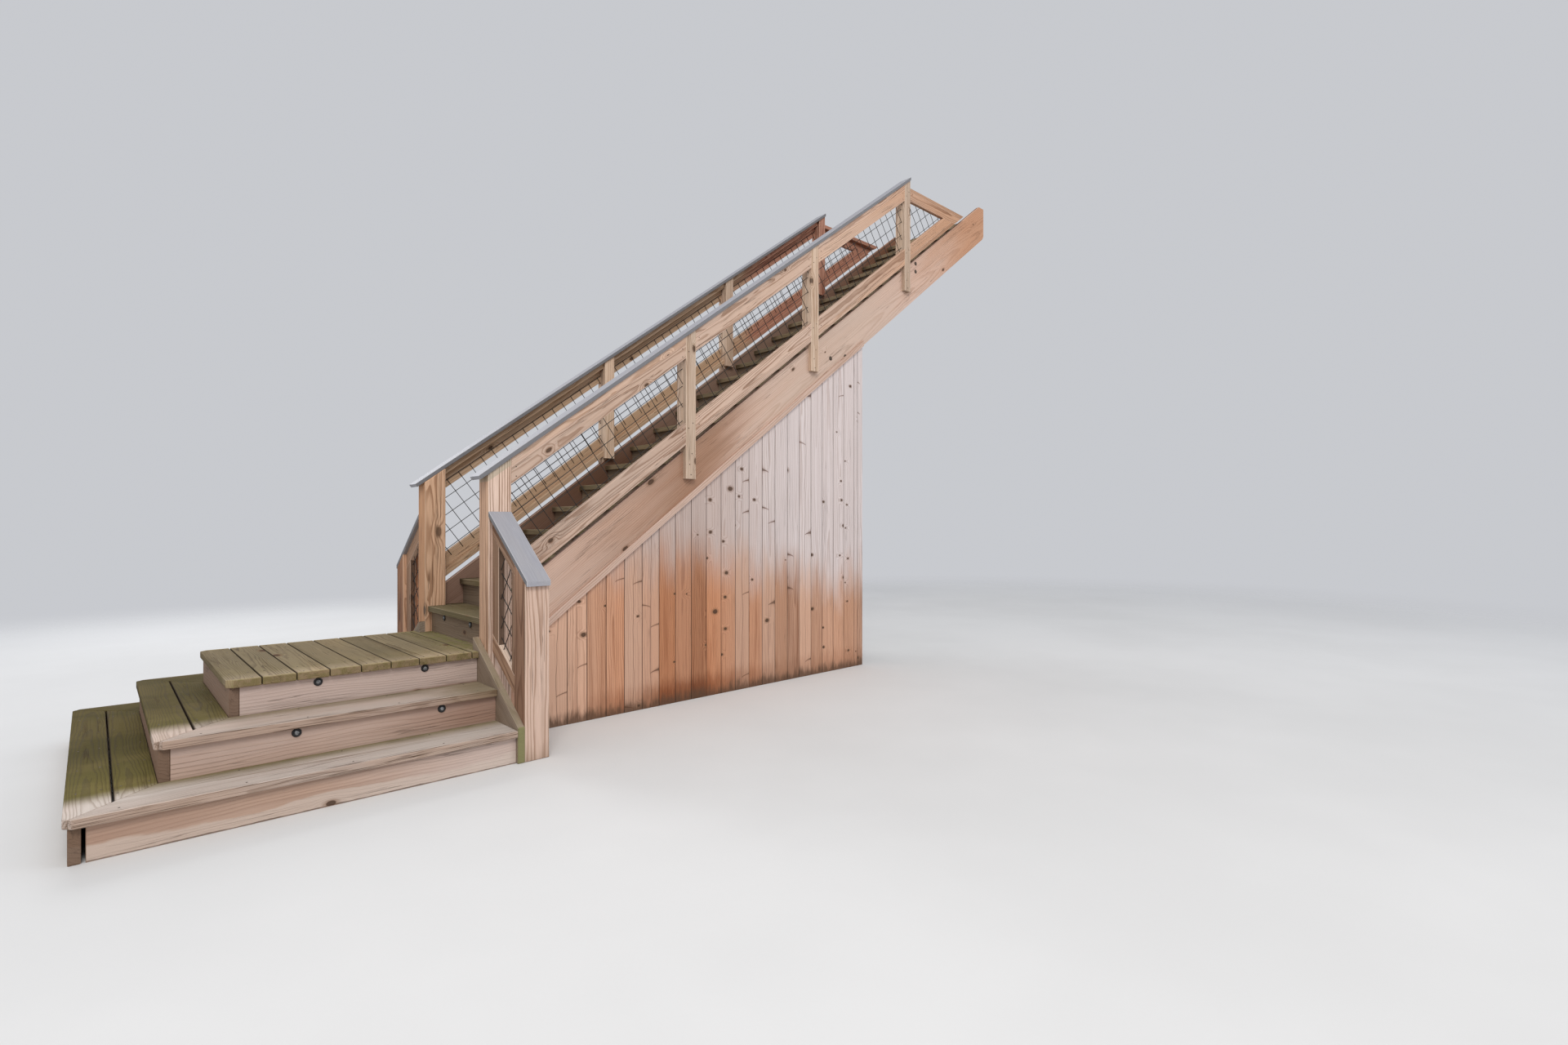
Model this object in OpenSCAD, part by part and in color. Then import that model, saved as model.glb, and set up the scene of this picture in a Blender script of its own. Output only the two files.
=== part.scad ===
// Exterior timber stair: two wrap-round steps and a small platform, then one long
// straight flight between wire-filled guards, with boarded sides below.
// +X runs along the flight towards its high end, +Z is up, the flight's middle is y = 0.
// Lengths are in millimetres. The finished box has its bottom centre at the origin.

/* [Steps and flight] */
// Height of every step, wrap-round steps and flight alike
rise = 179.5; // [150:0.5:200]
// Horizontal run of one flight step
going = 240; // [230:1:320]
// Number of treads in the straight flight
tread_count = 23; // [3:1:26]
// Horizontal run of one wrap-round step
wrap_going = 274; // [240:1:340]
// How far a tread's front edge stands proud of the riser below
nosing = 25; // [10:1:35]
// The same overhang along the end of the wrap-round steps
end_nosing = 15; // [5:1:30]
// Half width of the platform, to its front edge
platform_half = 590; // [500:5:900]
// Length of the platform, from its end edge to the wing skirt boards
platform_run = 1195; // [900:1:1800]
// Clipped outer corner of the wrap-round treads
corner_clip = 30; // [0:1:60]

/* [Timber sizes] */
// Thickness of the dressed framing timber
stock = 38; // [35:1:45]
// Narrow board width
narrow_w = 89; // [70:1:100]
// Deck board width
board_w = 140; // [120:1:150]
// Wide board width, used for the header
wide_w = 286; // [240:1:300]
// Width of the stringer planks
stringer_w = 318; // [280:1:350]
// Side of the square newels
newel_w = 140; // [90:1:150]
// Gap between neighbouring deck boards
board_gap = 5; // [3:1:10]
// Thickness of the flight's risers
riser_t = 19; // [16:1:38]
// Height of the flight's risers
riser_h = 176; // [150:1:190]
// Thickness of the side boarding and of its trim
boarding_t = 19; // [12:1:25]
// Width of the trim along the stringers' lower edges
trim_w = 41; // [30:1:90]
// Thickness of the cap boards
cap_t = 25; // [20:1:30]
// Width of the cap boards
cap_w = 140; // [120:1:160]

/* [Flight sides] */
// Stringer edge above the nosing line, measured plumb
stringer_up = 51; // [40:1:120]
// Depth of the housings that take treads and risers
housing_d = 12; // [8:1:18]
// Inner face of the newels, from the middle of the flight
newel_in = 493; // [400:1:700]
// First riser, behind the front face of the newels
first_riser_set = 45; // [20:1:100]
// Length of the boarded side, from the newel
boarding_run = 3325; // [1500:5:5000]
// Distance between the studs behind the boarding
stud_pitch = 600; // [400:10:700]
// Chamfer on the lower corner of the stringer tips
tip_chamfer = 30; // [5:1:60]

/* [Guards] */
// Underside of the cap above the nosing line, measured plumb
cap_under = 889; // [850:1:1100]
// Underside of the lowest guard strip above the nosing line
guard_low = 99; // [90:1:150]
// Middle of the first guard post, from the newel's back face
first_post = 1340; // [900:10:1800]
// Distance from one guard post to the next
post_pitch = 1313; // [1000:1:1800]
// Number of posts on each side
post_count = 3; // [1:1:4]
// Top of the level rail at the high end
level_top = 4620; // [3000:10:5400]
// How far the cap starts before the newel
cap_lead = 46; // [0:1:80]
// How far the cap passes the posts' outer faces
cap_over = 11; // [0:1:25]
// Level foot of the outer post boards, below the nosing line at the post's middle
outer_foot_drop = 182; // [100:1:240]
// Level foot of the inner post boards, above the nosing line
inner_foot_up = 12; // [2:1:40]

/* [Wing guards] */
// Outer face of the wing newels, behind the front edge of the lowest step
wing_inset = 2; // [0:1:60]
// Underside of the wing cap where it meets the tall newel
wing_cap_z = 1340; // [1100:10:1600]
// Fall of the wing cap, height lost for each unit of width
wing_fall = 0.74; // [0.5:0.01:0.9]
// Skirt board's top edge above the line of the step edges
skirt_up = 12; // [0:1:40]
// Gap between the skirt board and the wing's bottom rail
skirt_gap = 14; // [5:1:40]
// How far the wing cap passes its newel
wing_cap_over = 20; // [0:1:60]
// Wing frame behind the newels' front face
wing_set = 25; // [0:1:60]

/* [Wire panels] */
// Spacing of the wires, both ways
wire_pitch = 101.6; // [50:0.1:150]
// Thickness of one wire
wire_t = 5; // [3:0.5:8]
// Lowest long wire above the guard's bottom rail
wire_start = 17; // [5:1:60]
// How far the short wires lap the bottom rail
wire_lap = 40; // [20:1:70]
// Depth of the groove that holds a wing panel's edge
groove_d = 12; // [6:1:15]

/* [Lights and fits] */
// Diameter of a step light
light_d = 42; // [30:1:60]
// How far a step light stands off its riser
light_t = 6; // [3:1:10]
// Middle of a step light below the tread's underside
light_drop = 24; // [20:1:60]
// Clearance of a tread or riser in its housing
housing_fit = 0.3; // [0.1:0.1:1]
// Clearance where one board is dropped in between two others
board_fit = 0.3; // [0.1:0.1:1]
// Clearance of a wire panel in its groove and at the posts
wire_fit = 0.3; // [0.1:0.1:1]
// Open joint at the mitres of the wrap-round treads
mitre_gap = 2; // [1:0.5:4]
// Open joint between the lowest end riser and the risers beside it
riser_gap = 12; // [2:1:20]

/* [Hidden] */
slope = rise / going;
pitch_angle = atan(slope);
plumb = 1 / cos(pitch_angle);
wing_slope = rise / wrap_going;

// Stations along the flight, from the end edge of the lowest step
step_2_x = wrap_going;
step_3_x = 2 * wrap_going;
skirt_x = step_3_x + platform_run;
newel_x = skirt_x + stock;
newel_back = newel_x + newel_w;
riser_1_x = newel_x + first_riser_set;
high_x = riser_1_x + tread_count * going;
boarding_end = newel_back + boarding_run;
header_x = riser_1_x;
header_back = header_x + stock;

// Levels and half widths of the wrap-round steps
step_1_half = platform_half + 2 * wrap_going;
wing_out = step_1_half - wing_inset;
step_2_half = platform_half + wrap_going;
front_depth = wrap_going + nosing;
end_depth = wrap_going + end_nosing;
platform_z = 3 * rise;
deck_z = (tread_count + 4) * rise;
box_h = rise - stock;
bearing = 13;

// Layers across a flight side, from the middle of the flight
newel_out = newel_in + newel_w;
stringer_out = newel_out - stock;
stringer_in = stringer_out - stock;
tread_half = stringer_in + housing_d - housing_fit;
strip_in = newel_out - narrow_w;
inner_post_in = stringer_in - stock;
cap_out = newel_out + cap_over;
wall_in = stringer_out - boarding_t - narrow_w;

// Plumb heights above the nosing line
stringer_low = stringer_up - stringer_w * plumb;
strip_low_top = guard_low + stock * plumb;
rail_low_low = strip_low_top + board_fit * plumb;
rail_low_top = rail_low_low + narrow_w * plumb;
strip_top_low = cap_under - stock * plumb;
rail_top_up = strip_top_low - board_fit * plumb;
rail_top_low = rail_top_up - narrow_w * plumb;
mesh_low = rail_low_top - wire_lap * plumb;
wire_room = (strip_top_low - mesh_low) / plumb - wire_fit - wire_lap - wire_start - wire_t / 2;
wire_count = floor(wire_room / wire_pitch) + 1;
mesh_run = wire_lap + wire_start + (wire_count - 1) * wire_pitch + wire_t / 2;
mesh_top = mesh_low + mesh_run * plumb;
wire_step = wire_pitch * cos(pitch_angle);

// Guard stations
post_x = [for (i = [0 : post_count - 1]) newel_back + first_post + i * post_pitch];
post_half = narrow_w / 2;
last_post = post_x[post_count - 1];
level_strip_low = level_top - stock;
level_rail_up = level_strip_low - board_fit;
level_rail_low = level_rail_up - narrow_w;
wire_over = 1;
wire_groove = 2 * wire_t - wire_over + 2 * wire_fit;
long_wire_in = stringer_out - 2 * wire_t + wire_over;

// Stations of the step lights along both sides, and their half spacing on the flight
light_x_2 = [790, 1450];
light_x_3 = [931, 1450];
light_y = 235;
overall_len = high_x;

// Wing stations, across the flight
wing_newel_in = wing_out - newel_w;
wing_stile_w = narrow_w;
wing_x = newel_x + wing_set;
wing_angle = atan(wing_fall);
wing_plumb = 1 / cos(wing_angle);
skirt_plumb = 1 / cos(atan(wing_slope));

// Height of the nosing line over a station of the flight
function nose_z(x) = (4 * rise) + (x - (riser_1_x - nosing)) * slope;
// Station of the flight where a line above the nosing line reaches a height
function nose_x(z, up) = (z - up - 4 * rise) / slope + riser_1_x - nosing;
// Front face of one of the flight's risers
function riser_x(i) = riser_1_x + (i - 1) * going;
// Top of one of the flight's treads
function tread_z(i) = (3 + i) * rise;
// Line of the step edges over a half width, as the skirt boards follow it
function step_line(y) = rise + (step_1_half - y) * wing_slope;
// Underside of the wing cap over a half width
function wing_cap_low(y) = wing_cap_z - (y - newel_out) * wing_fall;

// Shapes

// Box between two stations, two half widths and two levels
module block(x0, x1, y0, y1, z0, z1) {
    translate([x0 - overall_len / 2, y0, z0])
        cube([x1 - x0, y1 - y0, z1 - z0]);
}

// Upright plate along the flight, drawn from the side
module side_plate(y0, y1) {
    translate([-overall_len / 2, y1, 0])
        rotate([90, 0, 0])
            linear_extrude(height = y1 - y0)
                children();
}

// Upright plate across the flight, drawn from the front
module cross_plate(x0, x1) {
    translate([x0 - overall_len / 2, 0, 0])
        rotate([90, 0, 90])
            linear_extrude(height = x1 - x0)
                children();
}

// Level plate, drawn from above
module flat_plate(z0, z1) {
    translate([-overall_len / 2, 0, z0])
        linear_extrude(height = z1 - z0)
            children();
}

// Band that follows the nosing line, with plumb ends
module pitch_band(x0, x1, low, high) {
    polygon([
        [x0, nose_z(x0) + low],
        [x1, nose_z(x1) + low],
        [x1, nose_z(x1) + high],
        [x0, nose_z(x0) + high]
    ]);
}

// Same child on the near side of the flight
module near_side() {
    mirror([0, 1, 0])
        children();
}

// Wrap-round steps

// Treads of one wrap-round step: a front strip, a back strip and two end boards
module wrap_treads(x0, half, top) {
    in_x = x0 + end_depth;
    in_y = half - front_depth;
    clip_x = x0 + corner_clip / 2;
    clip_y = half - corner_clip / 2;
    lean = (clip_y - in_y) / (in_x - clip_x);
    end_w = (end_depth - board_gap) / 2;
    out_x = x0 + end_w;
    mid_x = out_x + board_gap;
    out_y = clip_y - (out_x - clip_x) * lean - mitre_gap;
    mid_y = clip_y - (mid_x - clip_x) * lean - mitre_gap;
    for (side = [-1, 1])
        flat_plate(top - stock, top)
            polygon([
                [x0 + corner_clip, side * half],
                [skirt_x, side * half],
                [skirt_x, side * in_y],
                [in_x, side * in_y],
                [clip_x, side * clip_y]
            ]);
    flat_plate(top - stock, top)
        polygon([
            [x0, half - corner_clip],
            [clip_x, clip_y - mitre_gap],
            [out_x, out_y],
            [out_x, -out_y],
            [clip_x, mitre_gap - clip_y],
            [x0, corner_clip - half]
        ]);
    flat_plate(top - stock, top)
        polygon([
            [mid_x, mid_y],
            [in_x, in_y - mitre_gap],
            [in_x, mitre_gap - in_y],
            [mid_x, -mid_y]
        ]);
}

// Risers of one wrap-round step: an end board and two boards along the sides, with an
// open joint between them
module wrap_risers(x0, half, z0, z1, joint) {
    face_x = x0 + end_nosing;
    face_y = half - nosing;
    block(face_x, face_x + stock, -face_y, face_y, z0, z1);
    for (y0 = [-face_y, face_y - stock])
        block(face_x + stock + joint, skirt_x, y0, y0 + stock, z0, z1);
}

// Bearers under the next riser: they carry it and the back edge of the treads
module wrap_bearers(face_x, face_y, end_half, z0, z1) {
    bearer_x = face_x - bearing;
    bearer_y = face_y + bearing;
    block(bearer_x, bearer_x + stock, -end_half, end_half, z0, z1);
    for (y0 = [-bearer_y, bearer_y - stock])
        block(bearer_x + stock + board_fit, skirt_x, y0, y0 + stock, z0, z1);
}

module step_1_risers() {
    color("#b98f76")
        wrap_risers(0, step_1_half, 0, box_h, riser_gap);
}

module step_1_treads() {
    color("#a3a08a")
        wrap_treads(0, step_1_half, rise);
}

module step_1_bearers() {
    color("#b08a6a")
        wrap_bearers(
            step_2_x + end_nosing,
            step_2_half - nosing,
            step_2_half - nosing + bearing,
            0,
            box_h
        );
}

module step_2_risers() {
    color("#b98f76")
        wrap_risers(step_2_x, step_2_half, box_h, 2 * rise - stock, board_fit);
}

module step_2_treads() {
    color("#a3a08a")
        wrap_treads(step_2_x, step_2_half, 2 * rise);
}

module step_2_bearers() {
    low = 2 * rise - stock - board_w;
    color("#b08a6a")
        wrap_bearers(
            step_3_x + end_nosing,
            platform_half - nosing,
            step_2_half - nosing - stock,
            low,
            2 * rise - stock
        );
}

module platform_risers() {
    color("#b98f76")
        wrap_risers(step_3_x, platform_half, 2 * rise - stock, platform_z - stock, board_fit);
}

// Boards across the platform: the first has clipped corners as the treads below have, and
// those past the skirts drop in between the newels
module platform_boards() {
    low = platform_z - stock;
    pitch = board_w + board_gap;
    full_count = floor((skirt_x - step_3_x) / pitch);
    notched_x = step_3_x + full_count * pitch;
    short_x = notched_x + pitch;
    short_half = newel_in - board_fit;
    color("#a3a08a") {
        flat_plate(low, platform_z)
            polygon([
                [step_3_x, corner_clip - platform_half],
                [step_3_x + corner_clip, -platform_half],
                [step_3_x + board_w, -platform_half],
                [step_3_x + board_w, platform_half],
                [step_3_x + corner_clip, platform_half],
                [step_3_x, platform_half - corner_clip]
            ]);
        for (i = [1 : full_count - 1])
            block(
                step_3_x + i * pitch,
                step_3_x + i * pitch + board_w,
                -platform_half,
                platform_half,
                low,
                platform_z
            );
        difference() {
            block(notched_x, notched_x + board_w, -platform_half, platform_half, low, platform_z);
            for (y0 = [-platform_half - 1, short_half])
                block(
                    skirt_x - board_fit,
                    notched_x + board_w + 1,
                    y0,
                    y0 + platform_half + 1 - short_half,
                    low - 1,
                    platform_z + 1
                );
        }
        if (header_back - short_x > riser_t)
            block(short_x, header_back, -short_half, short_half, low, platform_z);
    }
}

// Joists under the platform and the wide header behind them, between the newels
module platform_joists() {
    top = platform_z - stock;
    joist_x = step_3_x + end_nosing + stock;
    joist_y = platform_half - nosing - 4 * stock - stock / 2;
    color("#b08a6a") {
        for (y = [-joist_y, 0, joist_y])
            block(joist_x, header_x - board_fit, y - stock / 2, y + stock / 2, top - board_w, top);
        block(header_x, header_back, -newel_in, newel_in, top - wide_w, top);
    }
}

// Round lights on the risers: a tapered rim with a lens a little proud of it
module light() {
    r = light_d / 2;
    rotate([90, 0, 0]) {
        cylinder(h = light_t, r1 = r, r2 = 0.85 * r, $fn = 20);
        cylinder(h = 1.25 * light_t, r = r / 2, $fn = 20);
    }
}

module step_lights() {
    z_2 = 2 * rise - stock - light_drop;
    z_3 = 3 * rise - stock - light_drop;
    z_4 = 4 * rise - stock - light_drop;
    color("#1d1c1c") {
        for (turn = [0, 180]) {
            rotate([0, 0, turn])
                for (x = light_x_2)
                    translate([(turn == 0 ? 1 : -1) * (x - overall_len / 2), nosing - step_2_half, z_2])
                        light();
            rotate([0, 0, turn])
                for (x = light_x_3)
                    translate([(turn == 0 ? 1 : -1) * (x - overall_len / 2), nosing - platform_half, z_3])
                        light();
        }
        for (y = [-light_y, light_y])
            translate([riser_1_x - overall_len / 2, y, z_4])
                rotate([0, 0, -90])
                    light();
    }
}

// Newels

// Tall newel: its top is cut to the slope of the flight's cap
module tall_newel() {
    color("#c09a78")
        side_plate(newel_in, newel_out)
            polygon([
                [newel_x, 0],
                [newel_back, 0],
                [newel_back, nose_z(newel_back) + cap_under],
                [newel_x, nose_z(newel_x) + cap_under]
            ]);
}

// Wing newel: its top is cut to the slope of the wing cap
module wing_newel() {
    color("#c09a78")
        cross_plate(newel_x, newel_back)
            polygon([
                [wing_newel_in, 0],
                [wing_out, 0],
                [wing_out, wing_cap_low(wing_out)],
                [wing_newel_in, wing_cap_low(wing_newel_in)]
            ]);
}

module far_newel() {
    tall_newel();
}

module near_newel() {
    near_side()
        tall_newel();
}

module far_wing_newel() {
    wing_newel();
}

module near_wing_newel() {
    near_side()
        wing_newel();
}

// Wings

// Skirt board against the newels' front faces, its top edge along the step edges
module wing_skirt() {
    color("#b08f72")
        cross_plate(skirt_x, newel_x)
            polygon([
                [newel_in, 0],
                [wing_out, 0],
                [wing_out, step_line(wing_out) + skirt_up],
                [newel_in, step_line(newel_in) + skirt_up]
            ]);
}

// Lower edge of the wing's bottom rail over a half width
function wing_rail_low(y) = step_line(y) + skirt_up + skirt_gap;
// Upper edge of the wing's bottom rail over a half width
function wing_rail_up(y) = wing_rail_low(y) + narrow_w * skirt_plumb;
// Lower edge of the wing's top rail over a half width
function wing_top_low(y) = wing_cap_low(y) - narrow_w * wing_plumb;

// Wing frame: two rails between the newels and two stiles between the rails
module wing_frame() {
    y0 = newel_out;
    y1 = wing_newel_in;
    in_y0 = y0 + wing_stile_w;
    in_y1 = y1 - wing_stile_w;
    mid = wing_x + stock / 2;
    color("#bd9877")
        difference() {
            cross_plate(wing_x, wing_x + stock)
                polygon([
                    [y0, wing_rail_low(y0)],
                    [y1, wing_rail_low(y1)],
                    [y1, wing_cap_low(y1)],
                    [y0, wing_cap_low(y0)]
                ]);
            cross_plate(wing_x - 1, wing_x + stock + 1)
                polygon([
                    [in_y0, wing_rail_up(in_y0)],
                    [in_y1, wing_rail_up(in_y1)],
                    [in_y1, wing_top_low(in_y1)],
                    [in_y0, wing_top_low(in_y0)]
                ]);
            cross_plate(mid - wire_groove / 2, mid + wire_groove / 2)
                wing_opening(groove_d);
        }
}

// Outline of the wing's opening, widened by the depth of the groove
module wing_opening(grow) {
    y0 = newel_out + wing_stile_w - grow;
    y1 = wing_newel_in - wing_stile_w + grow;
    polygon([
        [y0, wing_rail_up(y0) - grow],
        [y1, wing_rail_up(y1) - grow],
        [y1, wing_top_low(y1) + grow],
        [y0, wing_top_low(y0) + grow]
    ]);
}

// Wires of the wing panel in two layers, joined by an edge wire that lies in the groove
module wing_wire() {
    grow = groove_d - wire_fit;
    mid = wing_x + stock / 2;
    half_over = wire_over / 2;
    mid_y = (newel_out + wing_newel_in) / 2;
    mid_z = (wing_rail_up(mid_y) + wing_top_low(mid_y)) / 2;
    reach = wing_newel_in - newel_out + wing_top_low(newel_out) - wing_rail_up(wing_newel_in);
    color("#26241f") {
        cross_plate(mid - half_over, mid + wire_t - half_over)
            intersection() {
                wing_opening(grow);
                translate([mid_y, mid_z])
                    rotate(-wing_angle)
                        wire_row(reach);
            }
        cross_plate(mid - wire_t + half_over, mid + half_over)
            intersection() {
                wing_opening(grow);
                translate([mid_y, mid_z])
                    rotate(90 - wing_angle)
                        wire_row(reach);
            }
        cross_plate(mid - wire_t + half_over, mid + wire_t - half_over)
            difference() {
                wing_opening(grow);
                wing_opening(grow - wire_t);
            }
    }
}

// Parallel wires, centred, over a square with the given side
module wire_row(reach) {
    each_way = floor(reach / 2 / wire_pitch);
    for (i = [-each_way : each_way])
        translate([-reach / 2, i * wire_pitch - wire_t / 2])
            square([reach, wire_t]);
}

// Sloping cap on the wing newel, butted against the tall newel
module wing_cap() {
    end_y = wing_out + wing_cap_over;
    color("#8d9299")
        cross_plate(newel_x, newel_x + cap_w)
            polygon([
                [newel_out, wing_cap_low(newel_out)],
                [end_y, wing_cap_low(end_y)],
                [end_y, wing_cap_low(end_y) + cap_t * wing_plumb],
                [newel_out, wing_cap_low(newel_out) + cap_t * wing_plumb]
            ]);
}

module far_wing_skirt() {
    wing_skirt();
}

module near_wing_skirt() {
    near_side()
        wing_skirt();
}

module far_wing_frame() {
    wing_frame();
}

module near_wing_frame() {
    near_side()
        wing_frame();
}

module far_wing_wire() {
    wing_wire();
}

module near_wing_wire() {
    near_side()
        wing_wire();
}

module far_wing_cap() {
    wing_cap();
}

module near_wing_cap() {
    near_side()
        wing_cap();
}

// Flight

// Outline of a stringer: foot against the newel, tip cut level and plumb
module stringer_outline() {
    tip_low = nose_z(high_x) + stringer_low;
    polygon([
        [newel_back, nose_z(newel_back) + stringer_low],
        [high_x - tip_chamfer, nose_z(high_x - tip_chamfer) + stringer_low],
        [high_x, tip_low + tip_chamfer * 0.6],
        [high_x, deck_z],
        [nose_x(deck_z, stringer_up), deck_z],
        [newel_back, nose_z(newel_back) + stringer_up]
    ]);
}

// Housings of all treads and risers, one stepped outline
module housing_outline() {
    f = housing_fit;
    for (i = [1 : tread_count])
        translate([riser_x(i) - nosing - f, tread_z(i) - stock - f])
            square([nosing + going + f + (i == tread_count ? 1 : riser_t), stock + 2 * f]);
    for (i = [2 : tread_count])
        translate([riser_x(i) - f, tread_z(i) - stock - riser_h - f])
            square([riser_t + 2 * f, riser_h + f + stock / 2]);
}

module stringer() {
    color("#b98f72")
        difference() {
            side_plate(stringer_in, stringer_out)
                stringer_outline();
            side_plate(stringer_in - 1, stringer_in + housing_d)
                housing_outline();
        }
}

module far_stringer() {
    stringer();
}

module near_stringer() {
    near_side()
        stringer();
}

// Each tread is two boards; the lowest front board is notched round the newels
module flight_treads() {
    color("#a08b78") {
        for (i = [2 : tread_count])
            block(
                riser_x(i) - nosing,
                riser_x(i) - nosing + board_w,
                -tread_half,
                tread_half,
                tread_z(i) - stock,
                tread_z(i)
            );
        for (i = [1 : tread_count])
            block(
                riser_x(i) - nosing + board_w + board_gap,
                riser_x(i + 1) - (i == tread_count ? 0 : board_fit),
                -tread_half,
                tread_half,
                tread_z(i) - stock,
                tread_z(i)
            );
        first_tread_board();
    }
}

// Lowest front board, narrow between the newels and full width behind them
module first_tread_board() {
    x0 = riser_1_x - nosing;
    x1 = x0 + board_w;
    back = newel_back + board_fit;
    in_y = newel_in - board_fit;
    flat_plate(tread_z(1) - stock, tread_z(1))
        polygon([
            [x0, -in_y],
            [back, -in_y],
            [back, -tread_half],
            [x1, -tread_half],
            [x1, tread_half],
            [back, tread_half],
            [back, in_y],
            [x0, in_y]
        ]);
}

// The lowest riser stands on the platform, the others behind the tread below
module flight_risers() {
    in_y = newel_in - board_fit;
    color("#ad8468") {
        block(riser_1_x, riser_1_x + riser_t, -in_y, in_y, platform_z, tread_z(1) - stock);
        for (i = [2 : tread_count])
            block(
                riser_x(i),
                riser_x(i) + riser_t,
                -tread_half,
                tread_half,
                tread_z(i) - stock - riser_h,
                tread_z(i) - stock
            );
    }
}

// Guards

// Outline of one post board between its foot and the cap
module post_board(x, foot_0, foot_1) {
    x0 = x - post_half;
    x1 = x + post_half;
    polygon([
        [x0, foot_0],
        [x1, foot_1],
        [x1, nose_z(x1) + cap_under],
        [x0, nose_z(x0) + cap_under]
    ]);
}

// Post of three boards: the outer one laps the stringer, the middle one stands on the
// stringer's edge, and the inner one ends just above the treads
module guard_post(x) {
    outer_foot = nose_z(x) - outer_foot_drop;
    inner_foot = nose_z(x + post_half) + inner_foot_up;
    side_plate(stringer_out, newel_out)
        post_board(x, outer_foot, outer_foot);
    side_plate(stringer_in + board_fit, stringer_out - board_fit)
        post_board(x, nose_z(x - post_half) + stringer_up, nose_z(x + post_half) + stringer_up);
    side_plate(inner_post_in, stringer_in)
        post_board(x, inner_foot, inner_foot);
}

module guard_posts() {
    color("#b8926f")
        for (x = post_x)
            guard_post(x);
}

// Stations where the boards between newel and posts start and end
bay_start = [newel_back, for (x = post_x) x + post_half];
bay_end = [for (x = post_x) x - post_half];

// Top rail in each bay: a board on edge under one laid flat
module top_rail() {
    color("#bd9273")
        for (i = [0 : post_count - 1]) {
            side_plate(stringer_out, newel_out)
                pitch_band(bay_start[i], bay_end[i], rail_top_low, rail_top_up);
            side_plate(strip_in, newel_out)
                pitch_band(bay_start[i], bay_end[i], strip_top_low, cap_under);
        }
}

// Bottom rail in each bay: a board on edge over one laid flat; the last ones run on
// until they meet the level rail
module bottom_rail() {
    color("#b98c6c") {
        for (i = [0 : post_count - 1]) {
            side_plate(stringer_out, newel_out)
                pitch_band(bay_start[i], bay_end[i], rail_low_low, rail_low_top);
            side_plate(strip_in, newel_out)
                pitch_band(bay_start[i], bay_end[i], guard_low, strip_low_top);
        }
        side_plate(stringer_out, newel_out)
            level_cut_band(rail_low_low, rail_low_top);
        side_plate(strip_in, newel_out)
            level_cut_band(guard_low, strip_low_top);
    }
}

// Band past the last post, cut level under the level rail
module level_cut_band(low, high) {
    x0 = bay_start[post_count];
    z1 = level_rail_low;
    polygon([
        [x0, nose_z(x0) + low],
        [nose_x(z1, low), z1],
        [nose_x(z1, high), z1],
        [x0, nose_z(x0) + high]
    ]);
}

// Level rail past the last post, its free end cut along the slope
module level_rail() {
    color("#bd9273") {
        side_plate(stringer_out, newel_out)
            level_board(level_rail_low, level_rail_up);
        side_plate(strip_in, newel_out)
            level_board(level_strip_low, level_top);
    }
}

// Level board between two heights, from the last post to the sloping end
module level_board(z0, z1) {
    x0 = bay_start[post_count];
    polygon([
        [x0, z0],
        [nose_x(z0, guard_low), z0],
        [nose_x(z1, guard_low), z1],
        [x0, z1]
    ]);
}

// Cap over the top rail, cut square at its low end
module guard_cap() {
    x0 = newel_x - cap_lead;
    x1 = last_post + post_half;
    z0 = nose_z(x0) + cap_under;
    color("#8d9299")
        side_plate(cap_out - cap_w, cap_out)
            polygon([
                [x0, z0],
                [x1, nose_z(x1) + cap_under],
                [x1, nose_z(x1) + cap_under + cap_t * plumb],
                [x0 - cap_t * sin(pitch_angle), z0 + cap_t * cos(pitch_angle)]
            ]);
}

// One long wire of a guard panel, numbered from the bottom
module long_wire(i, x0, x1) {
    up = rail_low_top + (wire_start + i * wire_pitch) * plumb;
    half = wire_t / 2 * plumb;
    pitch_band(x0, x1, up - half, up + half);
}

// Short wires square to the slope, counted from the lower end of a bay
module short_wires(x0, count) {
    up = rail_low_top + wire_start * plumb;
    for (k = [0 : count - 1]) {
        x = x0 + (k + 0.5) * wire_step;
        translate([x, nose_z(x) + up])
            rotate(pitch_angle + 90)
                translate([-wire_start - wire_lap - 1, -wire_t / 2])
                    square([mesh_run + 2, wire_t]);
    }
}

// Number of short wires that cross a long wire over a length of the flight
function short_count(run) = floor(run / wire_step - 0.6) + 1;

// Wire panel of one bay, fastened to the inner faces of the boards on edge: the short
// wires lie against the boards, the long wires cross them on the inside
module wire_panel(x0, x1) {
    side_plate(long_wire_in, long_wire_in + wire_t)
        for (i = [0 : wire_count - 1])
            long_wire(i, x0, x1);
    side_plate(stringer_out - wire_t, stringer_out)
        intersection() {
            pitch_band(x0, x1, mesh_low, mesh_top);
            short_wires(x0, short_count(x1 - x0 + (wire_count - 1) * wire_pitch * sin(pitch_angle)));
        }
}

// Outline of the last panel, lapped on the bottom rail and the level rail
module last_panel_outline(x0) {
    top = level_rail_low + wire_lap;
    polygon([
        [x0, nose_z(x0) + mesh_low],
        [nose_x(top, mesh_low), top],
        [x0, top]
    ]);
}

// The last panel: a triangle between the bottom rail and the level rail
module last_panel(x0) {
    x1 = nose_x(level_rail_low + wire_lap, rail_low_top + wire_start * plumb);
    side_plate(long_wire_in, long_wire_in + wire_t)
        intersection() {
            last_panel_outline(x0);
            for (i = [0 : wire_count - 1])
                long_wire(i, x0, x1);
        }
    side_plate(stringer_out - wire_t, stringer_out)
        intersection() {
            last_panel_outline(x0);
            short_wires(x0, short_count(x1 - x0));
        }
}

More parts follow.
